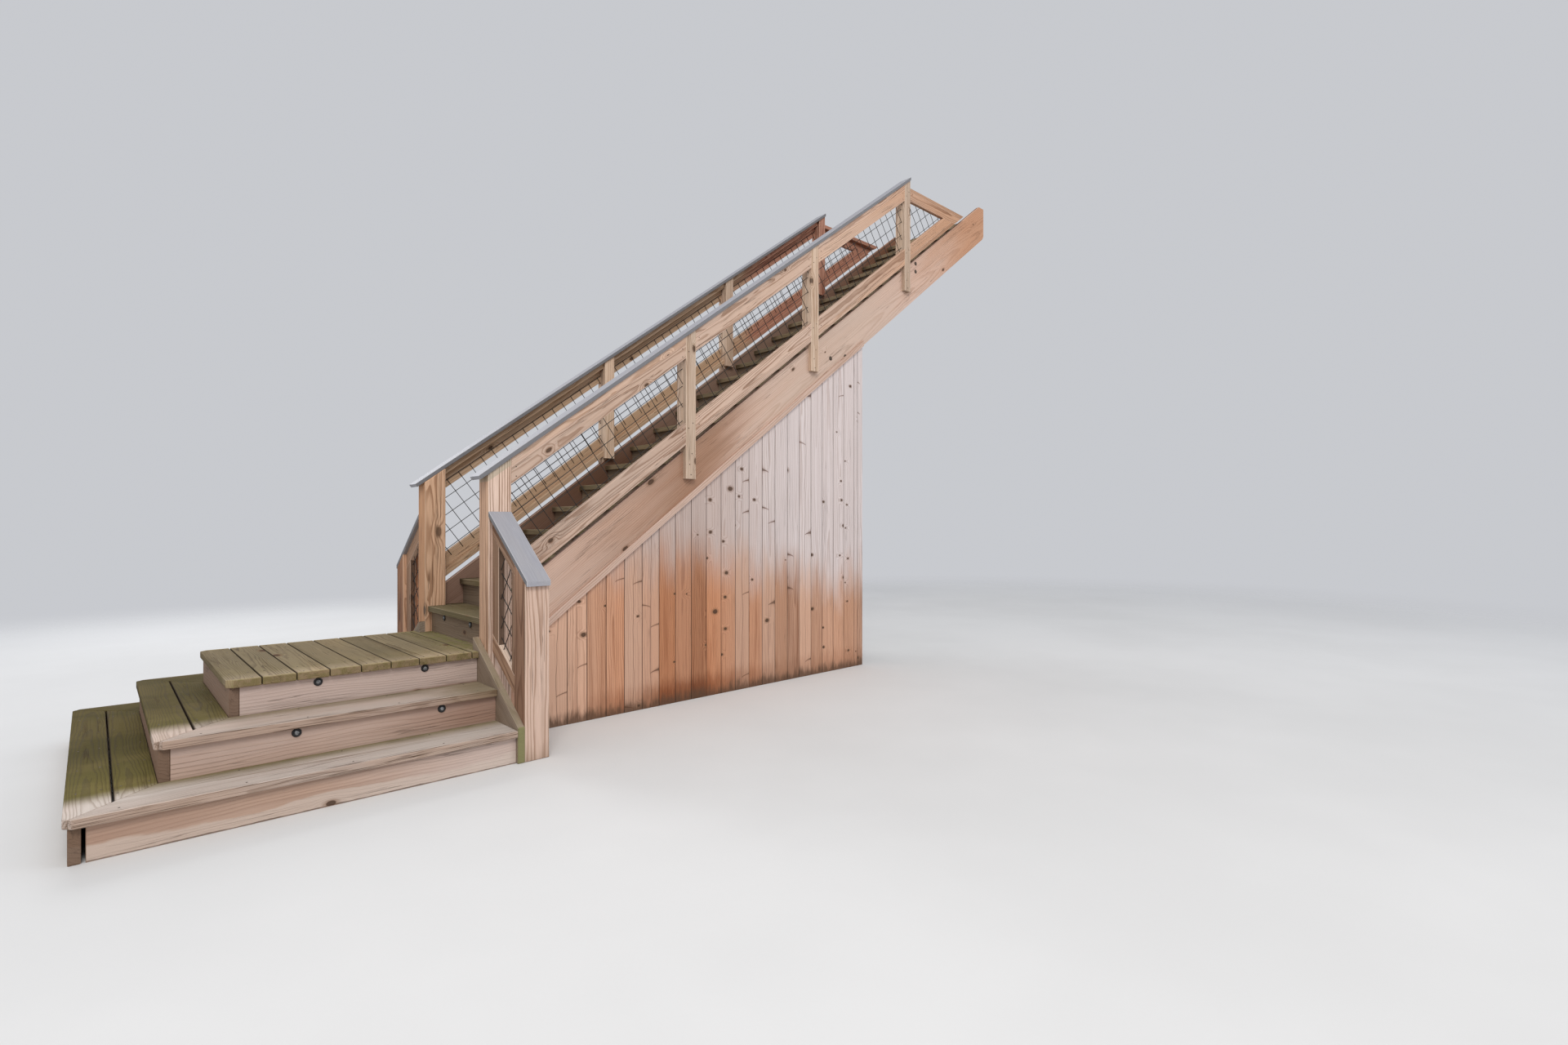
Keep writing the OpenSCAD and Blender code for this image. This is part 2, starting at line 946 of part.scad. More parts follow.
module guard_wire() {
    color("#26241f") {
        for (i = [0 : post_count - 1])
            wire_panel(bay_start[i] + wire_fit, bay_end[i] - wire_fit);
        last_panel(bay_start[post_count] + wire_fit);
    }
}

module far_posts() {
    guard_posts();
}

module near_posts() {
    near_side()
        guard_posts();
}

module far_top_rail() {
    top_rail();
}

module near_top_rail() {
    near_side()
        top_rail();
}

module far_bottom_rail() {
    bottom_rail();
}

module near_bottom_rail() {
    near_side()
        bottom_rail();
}

module far_level_rail() {
    level_rail();
}

module near_level_rail() {
    near_side()
        level_rail();
}

module far_cap() {
    guard_cap();
}

module near_cap() {
    near_side()
        guard_cap();
}

module far_wire() {
    guard_wire();
}

module near_wire() {
    near_side()
        guard_wire();
}

// Boarded sides

// Boarding from the ground to the stringer's lower edge
module boarding() {
    color("#c49a78")
        side_plate(stringer_out - boarding_t, stringer_out)
            polygon([
                [newel_back, 0],
                [boarding_end, 0],
                [boarding_end, nose_z(boarding_end) + stringer_low],
                [newel_back, nose_z(newel_back) + stringer_low]
            ]);
}

// Trim on the face of the stringer, along its lower edge
module boarding_trim() {
    color("#b57f52")
        side_plate(stringer_out, stringer_out + boarding_t)
            pitch_band(
                newel_back,
                boarding_end,
                stringer_low,
                stringer_low + trim_w * plumb
            );
}

// Wall frame behind the boarding: a sole plate, studs and a sloping top plate
module wall_frame() {
    wall_out = wall_in + narrow_w;
    stud_count = floor((boarding_run - stock) / stud_pitch);
    plate_low = stringer_low - stock * plumb;
    color("#b08a6a") {
        block(newel_back, boarding_end, wall_in, wall_out, 0, stock);
        side_plate(wall_in, wall_out)
            pitch_band(newel_back, boarding_end, plate_low, stringer_low);
        for (i = [0 : stud_count])
            wall_stud(newel_back + i * stud_pitch, plate_low);
        wall_stud(boarding_end - stock, plate_low);
    }
}

// One stud between the plates, its top cut to the slope
module wall_stud(x, plate_low) {
    side_plate(wall_in, wall_in + narrow_w)
        polygon([
            [x, stock + board_fit],
            [x + stock, stock + board_fit],
            [x + stock, nose_z(x + stock) + plate_low - board_fit],
            [x, nose_z(x) + plate_low - board_fit]
        ]);
}

module far_boarding() {
    boarding();
}

module near_boarding() {
    near_side()
        boarding();
}

module far_trim() {
    boarding_trim();
}

module near_trim() {
    near_side()
        boarding_trim();
}

module far_wall_frame() {
    wall_frame();
}

module near_wall_frame() {
    near_side()
        wall_frame();
}

step_1_risers();
step_1_treads();
step_1_bearers();
step_2_risers();
step_2_treads();
step_2_bearers();
platform_risers();
platform_boards();
platform_joists();
step_lights();
near_newel();
far_newel();
near_wing_newel();
far_wing_newel();
near_wing_skirt();
far_wing_skirt();
near_wing_frame();
far_wing_frame();
near_wing_wire();
far_wing_wire();
near_wing_cap();
far_wing_cap();
near_stringer();
far_stringer();
flight_treads();
flight_risers();
near_posts();
far_posts();
near_top_rail();
far_top_rail();
near_bottom_rail();
far_bottom_rail();
near_level_rail();
far_level_rail();
near_cap();
far_cap();
near_wire();
far_wire();
near_boarding();
far_boarding();
near_trim();
far_trim();
near_wall_frame();
far_wall_frame();
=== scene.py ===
# %% [markdown]
# # Exterior timber stair
# The stair is built from sawn timber: two wrap-round steps and a small platform at the foot,
# one straight flight between guards filled with wire, and boarded sides. The CAD model gives
# every board its place and its real size. This lesson gives each board its eased edges, its
# own grain and its weather, and adds the small parts that a joiner would fix on last.

# %% Load the frame
import math
import random
import bmesh
import bpy
from mathutils import Matrix, Vector


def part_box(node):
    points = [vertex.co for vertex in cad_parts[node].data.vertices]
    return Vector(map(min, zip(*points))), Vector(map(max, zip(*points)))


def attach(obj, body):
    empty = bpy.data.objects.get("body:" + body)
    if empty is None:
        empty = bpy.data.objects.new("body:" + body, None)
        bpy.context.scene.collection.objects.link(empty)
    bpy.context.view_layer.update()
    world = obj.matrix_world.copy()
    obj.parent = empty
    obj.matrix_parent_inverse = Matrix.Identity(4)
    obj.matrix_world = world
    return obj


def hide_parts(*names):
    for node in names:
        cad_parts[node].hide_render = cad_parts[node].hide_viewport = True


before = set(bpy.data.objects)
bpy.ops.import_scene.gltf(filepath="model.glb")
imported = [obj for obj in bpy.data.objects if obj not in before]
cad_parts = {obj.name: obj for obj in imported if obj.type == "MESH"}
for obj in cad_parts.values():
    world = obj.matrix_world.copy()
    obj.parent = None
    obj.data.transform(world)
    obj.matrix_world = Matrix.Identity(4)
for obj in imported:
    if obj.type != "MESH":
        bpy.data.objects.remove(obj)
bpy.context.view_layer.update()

# %% [markdown]
# The camera stands a little way off the foot of the stair, rather lower than eye height, and
# looks level along it with a wide lens. A level camera keeps all the uprights upright. The
# horizon lies a few pixels below the middle of the picture, which a small shift takes care of.

# %% Camera
eye = bpy.data.cameras.new("eye")
eye.lens = 16.6425
eye.sensor_width = 36.0
eye.shift_y = 0.0021
eye.clip_end = 100.0
viewer = bpy.data.objects.new("viewer", eye)
viewer.location = (-3.5915, -4.948, 1.285)
viewer.rotation_euler = (math.pi / 2, 0.0, math.atan2(-0.6908, 0.723))
bpy.context.scene.collection.objects.link(viewer)
bpy.context.scene.camera = viewer
print("Lens", eye.lens, "mm at", tuple(viewer.location))

# %% [markdown]
# All the sloping pieces follow one line through the front edges of the treads. With that line
# as a function, a rail, a wire or a screw is placed by its height above it, as on site.

# %% Lines that the stair is set out from
RISE = 0.1795
GOING = 0.24
SLOPE = RISE / GOING
PITCH = math.atan(SLOPE)
PLUMB = 1.0 / math.cos(PITCH)
STEP_RUN = 0.274
STEP_1_HALF = 1.138
STEP_2_HALF = 0.864
PLATFORM_HALF = 0.59
STEP_1_FRONT = -3.673
STEP_2_FRONT = -3.399
PLATFORM_FRONT = -3.125
FIRST_NOSING = -1.872
NEWEL_BACK = -1.752
POST_XS = (-0.412, 0.901, 2.214)
POST_HALF = 0.0445
STRINGER_OUT = 0.595
NEWEL_OUT = 0.633
STRINGER_LOW = 0.051 - 0.318 * PLUMB
FIT_GAP = 0.0003
SIDES = ((-1, "near"), (1, "far"))
chance = random.Random(61)


def nose_z(x):
    return 4 * RISE + (x - FIRST_NOSING) * SLOPE


print("Pitch of the flight", round(math.degrees(PITCH), 2), "degrees")

# %% [markdown]
# A plank is a flat outline given a thickness, so one helper draws a few corners as a face and
# extrudes it. A second helper takes a copy of a CAD node: it welds the seams that the file
# format leaves, dissolves the triangles of each flat face, and eases the long edges with a
# small bevel, because a planed board never has a knife edge and the bevel catches the light.

# %% Helpers for boards
WELD = 0.00002
SHARP = math.radians(20)
FLAT = math.radians(1)


def plank(bm, corners, thickness):
    face = bm.faces.new([bm.verts.new(c) for c in corners])
    grown = bmesh.ops.extrude_face_region(bm, geom=[face])["geom"]
    moved = [v for v in grown if isinstance(v, bmesh.types.BMVert)]
    bmesh.ops.translate(bm, verts=moved, vec=thickness)
    return moved


def bevel(bm, edges, width, segments):
    bmesh.ops.bevel(
        bm, geom=edges, offset=width, offset_type="OFFSET", segments=segments, profile=0.5,
        affect="EDGES", material=-1, clamp_overlap=True
    )


def ease_edges(bm, width, longer_than=0.0):
    sharp = []
    for edge in bm.edges:
        if edge.is_manifold and edge.calc_length() > longer_than:
            if edge.calc_face_angle() > SHARP:
                sharp.append(edge)
    bevel(bm, sharp, width, 2)


def copy_of(*nodes):
    bm = bmesh.new()
    for node in nodes:
        bm.from_mesh(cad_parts[node].data)
    bmesh.ops.remove_doubles(bm, verts=bm.verts, dist=WELD)
    bmesh.ops.dissolve_limit(
        bm, angle_limit=FLAT, verts=bm.verts, edges=bm.edges,
        use_dissolve_boundaries=False, delimit=set()
    )
    return bm


# %% [markdown]
# Wood has a direction. Each loose board of a mesh is found by walking over its edges. Its
# longest edge gives the way of the grain, and its widest face gives the flat side. Where
# several are equal the first one counts, and they are kept in order, so every run agrees.
# Every vertex then stores its place in the board's own directions, the board's half sizes, and
# three numbers drawn by lot, so that one wood finish gives no two boards the same figure.

# %% Give every board its own grain
def loose_boards(bm):
    seen = set()
    for start in bm.verts:
        if start in seen:
            continue
        board = []
        waiting = [start]
        seen.add(start)
        while waiting:
            vert = waiting.pop()
            board.append(vert)
            for edge in vert.link_edges:
                other = edge.other_vert(vert)
                if other not in seen:
                    seen.add(other)
                    waiting.append(other)
        yield board


def mark_grain(bm, along=None):
    place = bm.verts.layers.float_vector.new("board_place")
    half = bm.verts.layers.float_vector.new("board_half")
    lot = bm.verts.layers.float_vector.new("board_lot")
    count = 0
    for board in list(loose_boards(bm)):
        edges = dict.fromkeys(e for v in board for e in v.link_edges)
        faces = dict.fromkeys(f for v in board for f in v.link_faces)
        longest = max(edges, key=lambda e: e.calc_length())
        grain = (longest.verts[1].co - longest.verts[0].co).normalized()
        if along:
            grain = Vector(along)
        flat = max(faces, key=lambda f: f.calc_area() * (1 - abs(f.normal.dot(grain))))
        up = (flat.normal - grain * flat.normal.dot(grain)).normalized()
        across = up.cross(grain)
        axes = (grain, across, up)
        lows = [min(v.co.dot(a) for v in board) for a in axes]
        highs = [max(v.co.dot(a) for v in board) for a in axes]
        draw = Vector([chance.random() for _ in range(3)])
        for vert in board:
            vert[place] = [vert.co.dot(a) - (h + l) / 2 for a, h, l in zip(axes, highs, lows)]
            vert[half] = [(h - l) / 2 for h, l in zip(highs, lows)]
            vert[lot] = draw
        count += 1
    return count


def show(name, data):
    thing = bpy.data.objects.new(name, data)
    bpy.context.scene.collection.objects.link(thing)
    return thing


def finish_piece(name, bm, finish, stands_for=(), along=None, grained=True):
    bmesh.ops.recalc_face_normals(bm, faces=bm.faces)
    boards = mark_grain(bm, along) if grained else 0
    mesh = bpy.data.meshes.new(name)
    bm.to_mesh(mesh)
    bm.free()
    mesh.materials.append(finish)
    piece = show(name, mesh)
    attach(piece, "root")
    if stands_for:
        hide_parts(*stands_for)
    print(name, "has", boards, "boards and", len(mesh.polygons), "faces")
    return piece


def dress(node, finish, ease=0.0025, longer_than=0.0, along=None):
    bm = copy_of(node)
    ease_edges(bm, ease, longer_than)
    return finish_piece(node + "_dressed", bm, finish, [node], along)


# %% [markdown]
# A finish is a small network of nodes. Writing it by hand takes many lines, so a helper class
# adds a node, feeds its sockets with numbers or with other nodes, and hands back its output.
# It also keeps the colour so far, and cover and tint lay one more thin coat over it. Every
# finish below is then a short recipe in words that a painter could follow.

# %% Helper for finishes
class Finish:
    def __init__(self, name):
        self.material = bpy.data.materials.new(name)
        self.material.use_nodes = True
        self.tree = self.material.node_tree
        self.tree.nodes.clear()
        self.ground = self.node("TexCoord", {}).outputs["Object"]

    def node(self, kind, feeds, **settings):
        made = self.tree.nodes.new("ShaderNode" + kind)
        for key, value in settings.items():
            setattr(made, key, value)
        for key, value in feeds.items():
            socket = made.inputs[key]
            if isinstance(value, bpy.types.NodeSocket):
                self.tree.links.new(value, socket)
            else:
                socket.default_value = value
        return made

    def calc(self, operation, a, b=0.0, c=0.0):
        return self.node("Math", {0: a, 1: b, 2: c}, operation=operation).outputs[0]

    def times(self, a, b):
        return self.calc("MULTIPLY", a, b)

    def scaled(self, a, factor, plus):
        return self.calc("MULTIPLY_ADD", a, factor, plus)

    def plus(self, a, b):
        return self.calc("ADD", a, b)

    def minus(self, a, b):
        return self.calc("SUBTRACT", a, b)

    def larger(self, a, b):
        return self.calc("MAXIMUM", a, b)

    def size_of(self, a):
        return self.calc("ABSOLUTE", a)

    def join(self, *values):
        return self.node("CombineXYZ", dict(enumerate(values))).outputs[0]

    def vector(self, operation, a, b=(0, 0, 0)):
        made = self.node("VectorMath", {0: a, 1: b}, operation=operation)
        return made.outputs[1] if operation == "LENGTH" else made.outputs[0]

    def parts(self, value):
        return self.node("SeparateXYZ", {0: value}).outputs

    def here(self):
        return self.parts(self.ground)

    def stored(self, name):
        return self.node("Attribute", {}, attribute_name=name).outputs["Vector"]

    def noise(self, place, stretch, detail=2.0, rough=0.5):
        stretch = stretch if isinstance(stretch, tuple) else (stretch,) * 3
        scaled = self.vector("MULTIPLY", place, stretch)
        feeds = {"Vector": scaled, "Scale": 1.0, "Detail": detail, "Roughness": rough}
        return self.node("TexNoise", feeds).outputs["Fac"]

    def fade(self, value, start, end, low=0.0, high=1.0):
        feeds = {0: value, 1: start, 2: end, 3: low, 4: high}
        return self.node("MapRange", feeds, interpolation_type="SMOOTHSTEP").outputs[0]

    def blend(self, amount, under, over, way="MIX"):
        under = (*under, 1.0) if isinstance(under, tuple) else under
        over = (*over, 1.0) if isinstance(over, tuple) else over
        feeds = {0: amount, 6: under, 7: over}
        return self.node("Mix", feeds, data_type="RGBA", blend_type=way).outputs[2]

    def cover(self, amount, over, way="MIX"):
        self.colour = self.blend(amount, self.colour, over, way)

    def tint(self, amount, over):
        self.cover(amount, over, "MULTIPLY")

    def facing(self):
        return self.parts(self.node("NewGeometry", {}).outputs["Normal"])

    def surface(self, roughness, height, depth, **constants):
        feeds = {"Base Color": self.colour, "Roughness": roughness}
        for key, value in constants.items():
            feeds[key.replace("_", " ")] = value
        bump = {"Height": height, "Distance": depth, "Strength": 1.0}
        feeds["Normal"] = self.node("Bump", bump).outputs[0]
        shader = self.node("BsdfPrincipled", feeds)
        self.node("OutputMaterial", {0: shader.outputs[0]})
        return self.material


# %% [markdown]
# Softwood is a pile of growth rings round a pith. A flat-sawn board cuts them at a slant,
# which draws the tall arches on its face, and its ends show the rings themselves. The recipe
# does just that: it measures how far a point lies from a wandering pith line and repeats a
# pale band and a thin dark one over that distance. Knots push the rings aside. Then come
# streaks, fibres, greying by the weather and a touch that differs by place. Knots, drying
# checks and dirty joints come last, because they stay dark whatever grows over them.

# %% Masks for knots and growth rings
def knot_masks(f, knots, cells, big_knot):
    """Knots fill some of a row of sparse cells. One big knot may have a place of its own."""
    ragged = f.noise(f.spot, 30.0, 3.0)
    near_u = f.times(f.scaled(f.lots[1], 9.0, f.along), cells[0])
    near_v = f.times(f.plus(f.plus(f.across, f.deep), f.lots[0]), cells[1])
    near_u = f.scaled(ragged, 0.05, near_u)
    flat = f.join(near_u, near_v)
    cell = {"Vector": flat, "Scale": 1.0, "Randomness": 0.6}
    cell = f.node("TexVoronoi", cell, voronoi_dimensions="2D")
    apart = cell.outputs["Distance"]
    cell_lot = f.parts(cell.outputs["Color"])
    filled = f.calc("GREATER_THAN", cell_lot[0], 1.0 - knots)
    size = f.scaled(f.calc("POWER", cell_lot[1], 2.0), 0.06, 0.022)
    bend = f.times(f.fade(apart, 0.21, 0.0), filled)
    knot = f.times(f.fade(f.calc("DIVIDE", apart, size), 1.15, 0.85), filled)
    rim = f.times(f.fade(f.calc("DIVIDE", apart, size), 2.1, 1.0), filled)
    if big_knot:
        off = f.vector("MULTIPLY", f.vector("SUBTRACT", f.ground, big_knot), (1.0, 0.6, 0.5))
        off = f.scaled(ragged, 0.006, f.vector("LENGTH", off))
        bend = f.larger(bend, f.fade(off, 0.07, 0.0))
        knot = f.larger(knot, f.fade(off, 0.022, 0.018, 0.0, 0.6))
        rim = f.larger(rim, f.fade(off, 0.032, 0.02))
    return bend, knot, rim


def late_wood(f, rings, bend):
    """The dark part of each ring, round a pith line that leans and wanders."""
    wander = f.minus(f.noise(f.spot, (1.3, 6.5, 6.5), 2.0), 0.5)
    ripple = f.minus(f.noise(f.spot, (4.0, 30.0, 30.0), 3.0), 0.5)
    off_v = f.scaled(f.lots[0], 0.16, -0.08)
    off_w = f.scaled(f.lots[1], 0.055, 0.01)
    lean = f.times(f.along, f.scaled(f.lots[2], 0.05, -0.025))
    side_v = f.plus(f.plus(f.across, off_v), f.times(wander, 0.075))
    side_w = f.plus(f.plus(f.deep, off_w), lean)
    turned = f.join(side_v, side_w)
    reach = f.scaled(ripple, 0.01, f.vector("LENGTH", turned))
    reach = f.scaled(bend, 0.03, reach)
    ring = f.calc("FRACT", f.calc("DIVIDE", reach, rings))
    return f.times(f.fade(ring, 0.45, 0.86), f.fade(ring, 1.0, 0.93))


# %% Recipe for timber
KNOT_RIM = (0.19, 0.095, 0.045)
KNOT_HEART = (0.07, 0.036, 0.02)
CRACK = (0.09, 0.052, 0.032)
END_GRAIN = (0.15, 0.09, 0.055)
JOINT_DIRT = (0.04, 0.026, 0.018)


def timber(name, pale, dark, grey, greying=0.35, figure=0.8, rings=0.013, knots=0.35,
           checks=0.4, touch=None, tone=0.14, relief=0.0014, knot_cells=(2.3, 4.4), seam=0.0,
           seam_width=0.005, deck=None, big_knot=None, ends=0.42, shine=0.3):
    f = Finish(name)
    place = f.stored("board_place")
    half = f.parts(f.stored("board_half"))
    lot = f.stored("board_lot")
    lots = f.parts(lot)
    f.spot = f.vector("ADD", place, f.vector("MULTIPLY", lot, (31.0, 17.0, 23.0)))
    f.along, f.across, f.deep = f.parts(place)
    f.lots = lots
    bend, knot, rim = knot_masks(f, knots, knot_cells, big_knot)
    f.late = late_wood(f, rings, bend)
    streak = f.noise(f.spot, (0.9, 26.0, 26.0), 4.0, 0.6)
    fibre = f.noise(f.spot, (9.0, 380.0, 380.0), 2.0, 0.6)

    # Colour, from the clean wood outwards
    amount = f.times(f.late, f.fade(streak, 0.25, 0.65, figure * 0.5, figure))
    f.colour = f.blend(amount, pale, dark)
    f.cover(f.fade(streak, 0.5, 0.72, 0.0, 0.55), dark)
    f.cover(f.fade(fibre, 0.35, 0.75, 0.0, 0.25), dark)
    tan = tuple(c * k for c, k in zip(pale, (1.02, 0.94, 0.84)))
    f.cover(f.fade(lots[0], 0.2, 1.0, 0.0, 0.45), tan)
    rain = f.noise(f.spot, (0.8, 5.0, 5.0), 5.0, 0.6)
    greyed = f.fade(rain, 0.36, 0.66, 0.0, greying)
    f.cover(f.times(greyed, f.fade(f.late, 0.0, 1.0, 1.0, 0.5)), grey)
    worth = f.scaled(lots[2], tone * 2, 1.0 - tone)
    f.tint(1.0, f.join(worth, worth, worth))
    if touch:
        touch(f)

    # Knots, checks, end grain and dirty joints are darker whatever grows over them
    f.cover(f.times(rim, 0.5), KNOT_RIM)
    f.cover(f.times(knot, 0.88), KNOT_HEART)
    crack = f.size_of(f.minus(f.noise(f.spot, (0.8, 40.0, 40.0), 3.0), 0.5))
    gate = f.fade(f.noise(f.spot, (1.5, 9.0, 9.0), 2.0), 0.48, 0.6)
    check = f.times(f.fade(crack, 0.012, 0.002), f.times(gate, checks))
    f.cover(f.times(check, 0.85), CRACK)
    end = f.minus(half[0], f.size_of(f.along))
    side = f.minus(half[1], f.size_of(f.across))
    thin = f.minus(half[2], f.size_of(f.deep))
    f.cover(f.fade(end, 0.0035, 0.0005, 0.0, ends), END_GRAIN)
    if seam:
        dirty = f.fade(side, seam_width, seam_width * 0.4, 0.0, seam)
        if deck:
            dirty = f.times(dirty, f.calc("GREATER_THAN", inward(f, deck), 0.008))
        f.cover(dirty, JOINT_DIRT)
    else:
        arris = f.times(f.fade(side, 0.0045, 0.001), f.fade(thin, 0.0045, 0.001))
        arris = f.times(arris, f.fade(rain, 0.35, 0.6, 0.15, 0.6))
        f.cover(arris, tuple(min(0.8, c * 1.25) for c in pale))

    height = f.scaled(f.late, 0.4, f.times(fibre, 0.45))
    height = f.minus(height, f.times(check, 1.6))
    height = f.plus(height, f.times(knot, 0.5))
    roughness = f.scaled(greyed, 0.15, f.fade(f.late, 0.0, 1.0, 0.8, 0.68))
    print("Finish", name, "with", len(f.tree.nodes), "nodes")
    return f.surface(roughness, height, relief, Specular_IOR_Level=shine)


# %% [markdown]
# The deck boards lie level, so water stands on them. Algae turn them olive, least along the
# near side and darkest on the far half, and moss sits on the board ends and by the newels.
# The side strips of the steps are paler. Their outer edge is split, and worn to fresh wood in
# stretches, and the upright faces below it are darker. Each touch is a mask made from the
# place on the stair, broken up by noise.

# %% Finishes for the decks
FRONT_BEYOND_HALF = 2.535


def inward(f, half_width):
    """How far a point lies inside the open front and side edges of a step."""
    x, y = f.here()[:2]
    from_side = f.minus(half_width, f.size_of(y))
    return f.calc("MINIMUM", from_side, f.plus(x, FRONT_BEYOND_HALF + half_width))


MOSS = (0.17, 0.168, 0.045)


def deck_growth(start, end, most, moss_x=9.0, moss_ends=9.0, damp_x=9.0):
    def touch(f):
        x, y = f.here()[:2]
        off = f.size_of(y)
        patch = f.noise(f.ground, 2.6, 4.0, 0.6)
        shade = f.fade(f.scaled(patch, 0.1, y), -end + 0.05, -start + 0.05)
        olive = f.blend(f.fade(patch, 0.35, 0.65), (0.19, 0.15, 0.045), (0.125, 0.103, 0.022))
        olive = f.blend(f.fade(y, -0.8, 0.0), olive, (0.56, 0.54, 0.46), "MULTIPLY")
        olive = f.blend(f.late, olive, (0.74, 0.7, 0.62), "MULTIPLY")
        damp = f.fade(f.scaled(patch, 0.5, x), damp_x, damp_x + 0.4, 0.0, 0.6)
        shade = f.larger(f.times(shade, most), damp)
        f.cover(shade, olive)
        fine = f.noise(f.ground, 24.0, 4.0, 0.7)
        by_newel = f.fade(x, moss_x - 0.3, moss_x)
        at_end = f.fade(off, moss_ends - 0.012, moss_ends)
        bleached = f.fade(off, moss_ends - 0.055, moss_ends - 0.01, 0.0, 0.55)
        f.cover(bleached, (0.37, 0.285, 0.145))
        moss = f.larger(f.times(by_newel, 0.7), f.times(at_end, 0.6))
        moss = f.times(moss, f.fade(fine, 0.4, 0.62, 0.05, 1.0))
        f.cover(moss, MOSS)
    return touch


def worn_front(half_width, growth):
    def touch(f):
        growth(f)
        y = f.here()[1]
        depth = f.minus(half_width, f.size_of(y))
        jag = f.noise(f.spot, (4.0, 60.0, 60.0), 3.0)
        band = f.fade(f.scaled(jag, 0.05, depth), 0.044, 0.03)
        long = f.fade(f.noise(f.spot, (1.8, 2.0, 2.0), 2.0), 0.42, 0.54)
        worn = f.times(band, f.times(long, 0.5))
        f.cover(worn, (0.6, 0.48, 0.4))
        turned = f.facing()[1]
        front = f.fade(turned, -0.5, -0.9, 0.0, 0.8)
        f.tint(front, (0.74, 0.64, 0.58))
        split = f.size_of(f.minus(f.noise(f.spot, (1.3, 60.0, 130.0), 3.0), 0.5))
        dark = f.times(f.fade(split, 0.03, 0.008), f.fade(depth, 0.06, 0.006))
        f.cover(f.times(dark, 0.8), (0.1, 0.065, 0.042))
    return touch


STEP_DECK = {"knots": 0.06, "rings": 0.0085, "seam": 0.8, "ends": 0.2, "shine": 0.04}
step_1_wood = timber(
    "step_1_wood", (0.6, 0.515, 0.465), (0.24, 0.18, 0.135), (0.54, 0.49, 0.44), 0.6,
    checks=0.6, deck=STEP_1_HALF, **STEP_DECK,
    touch=worn_front(STEP_1_HALF, deck_growth(0.8, 1.0, 0.97))
)
step_2_wood = timber(
    "step_2_wood", (0.6, 0.49, 0.43), (0.22, 0.16, 0.125), (0.54, 0.47, 0.42), 0.5,
    checks=0.5, deck=STEP_2_HALF, **STEP_DECK,
    touch=worn_front(STEP_2_HALF, deck_growth(0.5, 0.72, 0.95, damp_x=-2.15))
)
platform_wood = timber(
    "platform_wood", (0.48, 0.375, 0.25), (0.155, 0.1, 0.058), (0.39, 0.33, 0.24), 0.5,
    rings=0.008, knots=0.15, checks=0.7, seam=0.75, seam_width=0.003, shine=0.04, tone=0.2,
    deck=PLATFORM_HALF, touch=deck_growth(0.38, 0.62, 0.55, -1.86, 0.588)
)

# %% [markdown]
# The risers stand in shelter below the nosings. They stay pinkish, like new wood that has
# only dried, with a warmer stain here and there where water ran down. The top riser is
# bleached, and so is the lowest one towards the newels, where the one between is damp. Along
# the ground runs a splashed, paler edge, and the thin dark line where a riser meets the ground
# is painted contact shade. Faces that look along the stair carry painted shade: a mask reads
# which way a face looks, and a brown is multiplied over the colour there. The deck above
# shades the flight, so its treads and risers get darker colours as painted shade, the treads
# with algae most of the way up and more painted shade at their ends.

# %% Finishes for risers, treads and hidden timbers
# Painted shade: faces that look along the stair get a brown multiplied over their colour.
def painted_side_shade(f, brown):
    f.tint(f.fade(f.size_of(f.facing()[0]), 0.5, 0.85), brown)


def water_stain(f):
    run = f.noise(f.ground, (1.1, 1.1, 3.5), 4.0, 0.55)
    f.cover(f.fade(run, 0.46, 0.62, 0.0, 0.35), (0.37, 0.225, 0.165))
    x, _, z = f.here()
    bleached = f.times(f.fade(z, 0.19, 0.17), f.fade(x, -2.9, -2.0, 0.0, 0.55))
    bleached = f.larger(bleached, f.fade(z, 0.355, 0.375, 0.22, 0.55))
    f.cover(bleached, (0.62, 0.52, 0.48))
    middle = f.times(f.fade(z, 0.17, 0.19), f.fade(z, 0.375, 0.355))
    damp = f.times(f.times(middle, f.fade(x, -2.7, -2.0)), 0.75)
    f.tint(damp, (0.66, 0.54, 0.47))
    warm = f.times(f.fade(z, 0.19, 0.17), f.fade(x, -2.4, -3.0))
    f.tint(warm, (0.88, 0.8, 0.72))
    wave = f.noise(f.ground, (2.2, 2.2, 9.0), 4.0)
    splash = f.scaled(wave, -0.13, z)
    f.cover(f.fade(splash, 0.0, -0.012, 0.0, 0.65), (0.59, 0.49, 0.42))
    # Painted contact shade: a thin dark line where the riser meets the ground.
    contact_shade = f.scaled(f.noise(f.ground, 14.0, 3.0), -0.012, z)
    f.cover(f.fade(contact_shade, 0.002, -0.002, 0.0, 0.8), (0.09, 0.06, 0.04))
    # Painted shade on the faces that look along the stair.
    painted_side_shade(f, (0.58, 0.48, 0.38))


def tread_algae_and_shade(f):
    y, z = f.here()[1:]
    damp = f.noise(f.ground, (1.6, 1.6, 3.5), 4.0, 0.55)
    damp = f.times(f.fade(damp, 0.3, 0.55, 0.25, 0.68), f.fade(z, 2.4, 1.0, 0.35, 1.0))
    f.cover(damp, (0.125, 0.102, 0.04))
    # Painted shade: the ends of the treads, under the deck and by the stringers, are darker.
    off = f.size_of(y)
    f.tint(f.fade(off, 0.44, 0.53, 0.0, 0.8), (0.35, 0.3, 0.26))


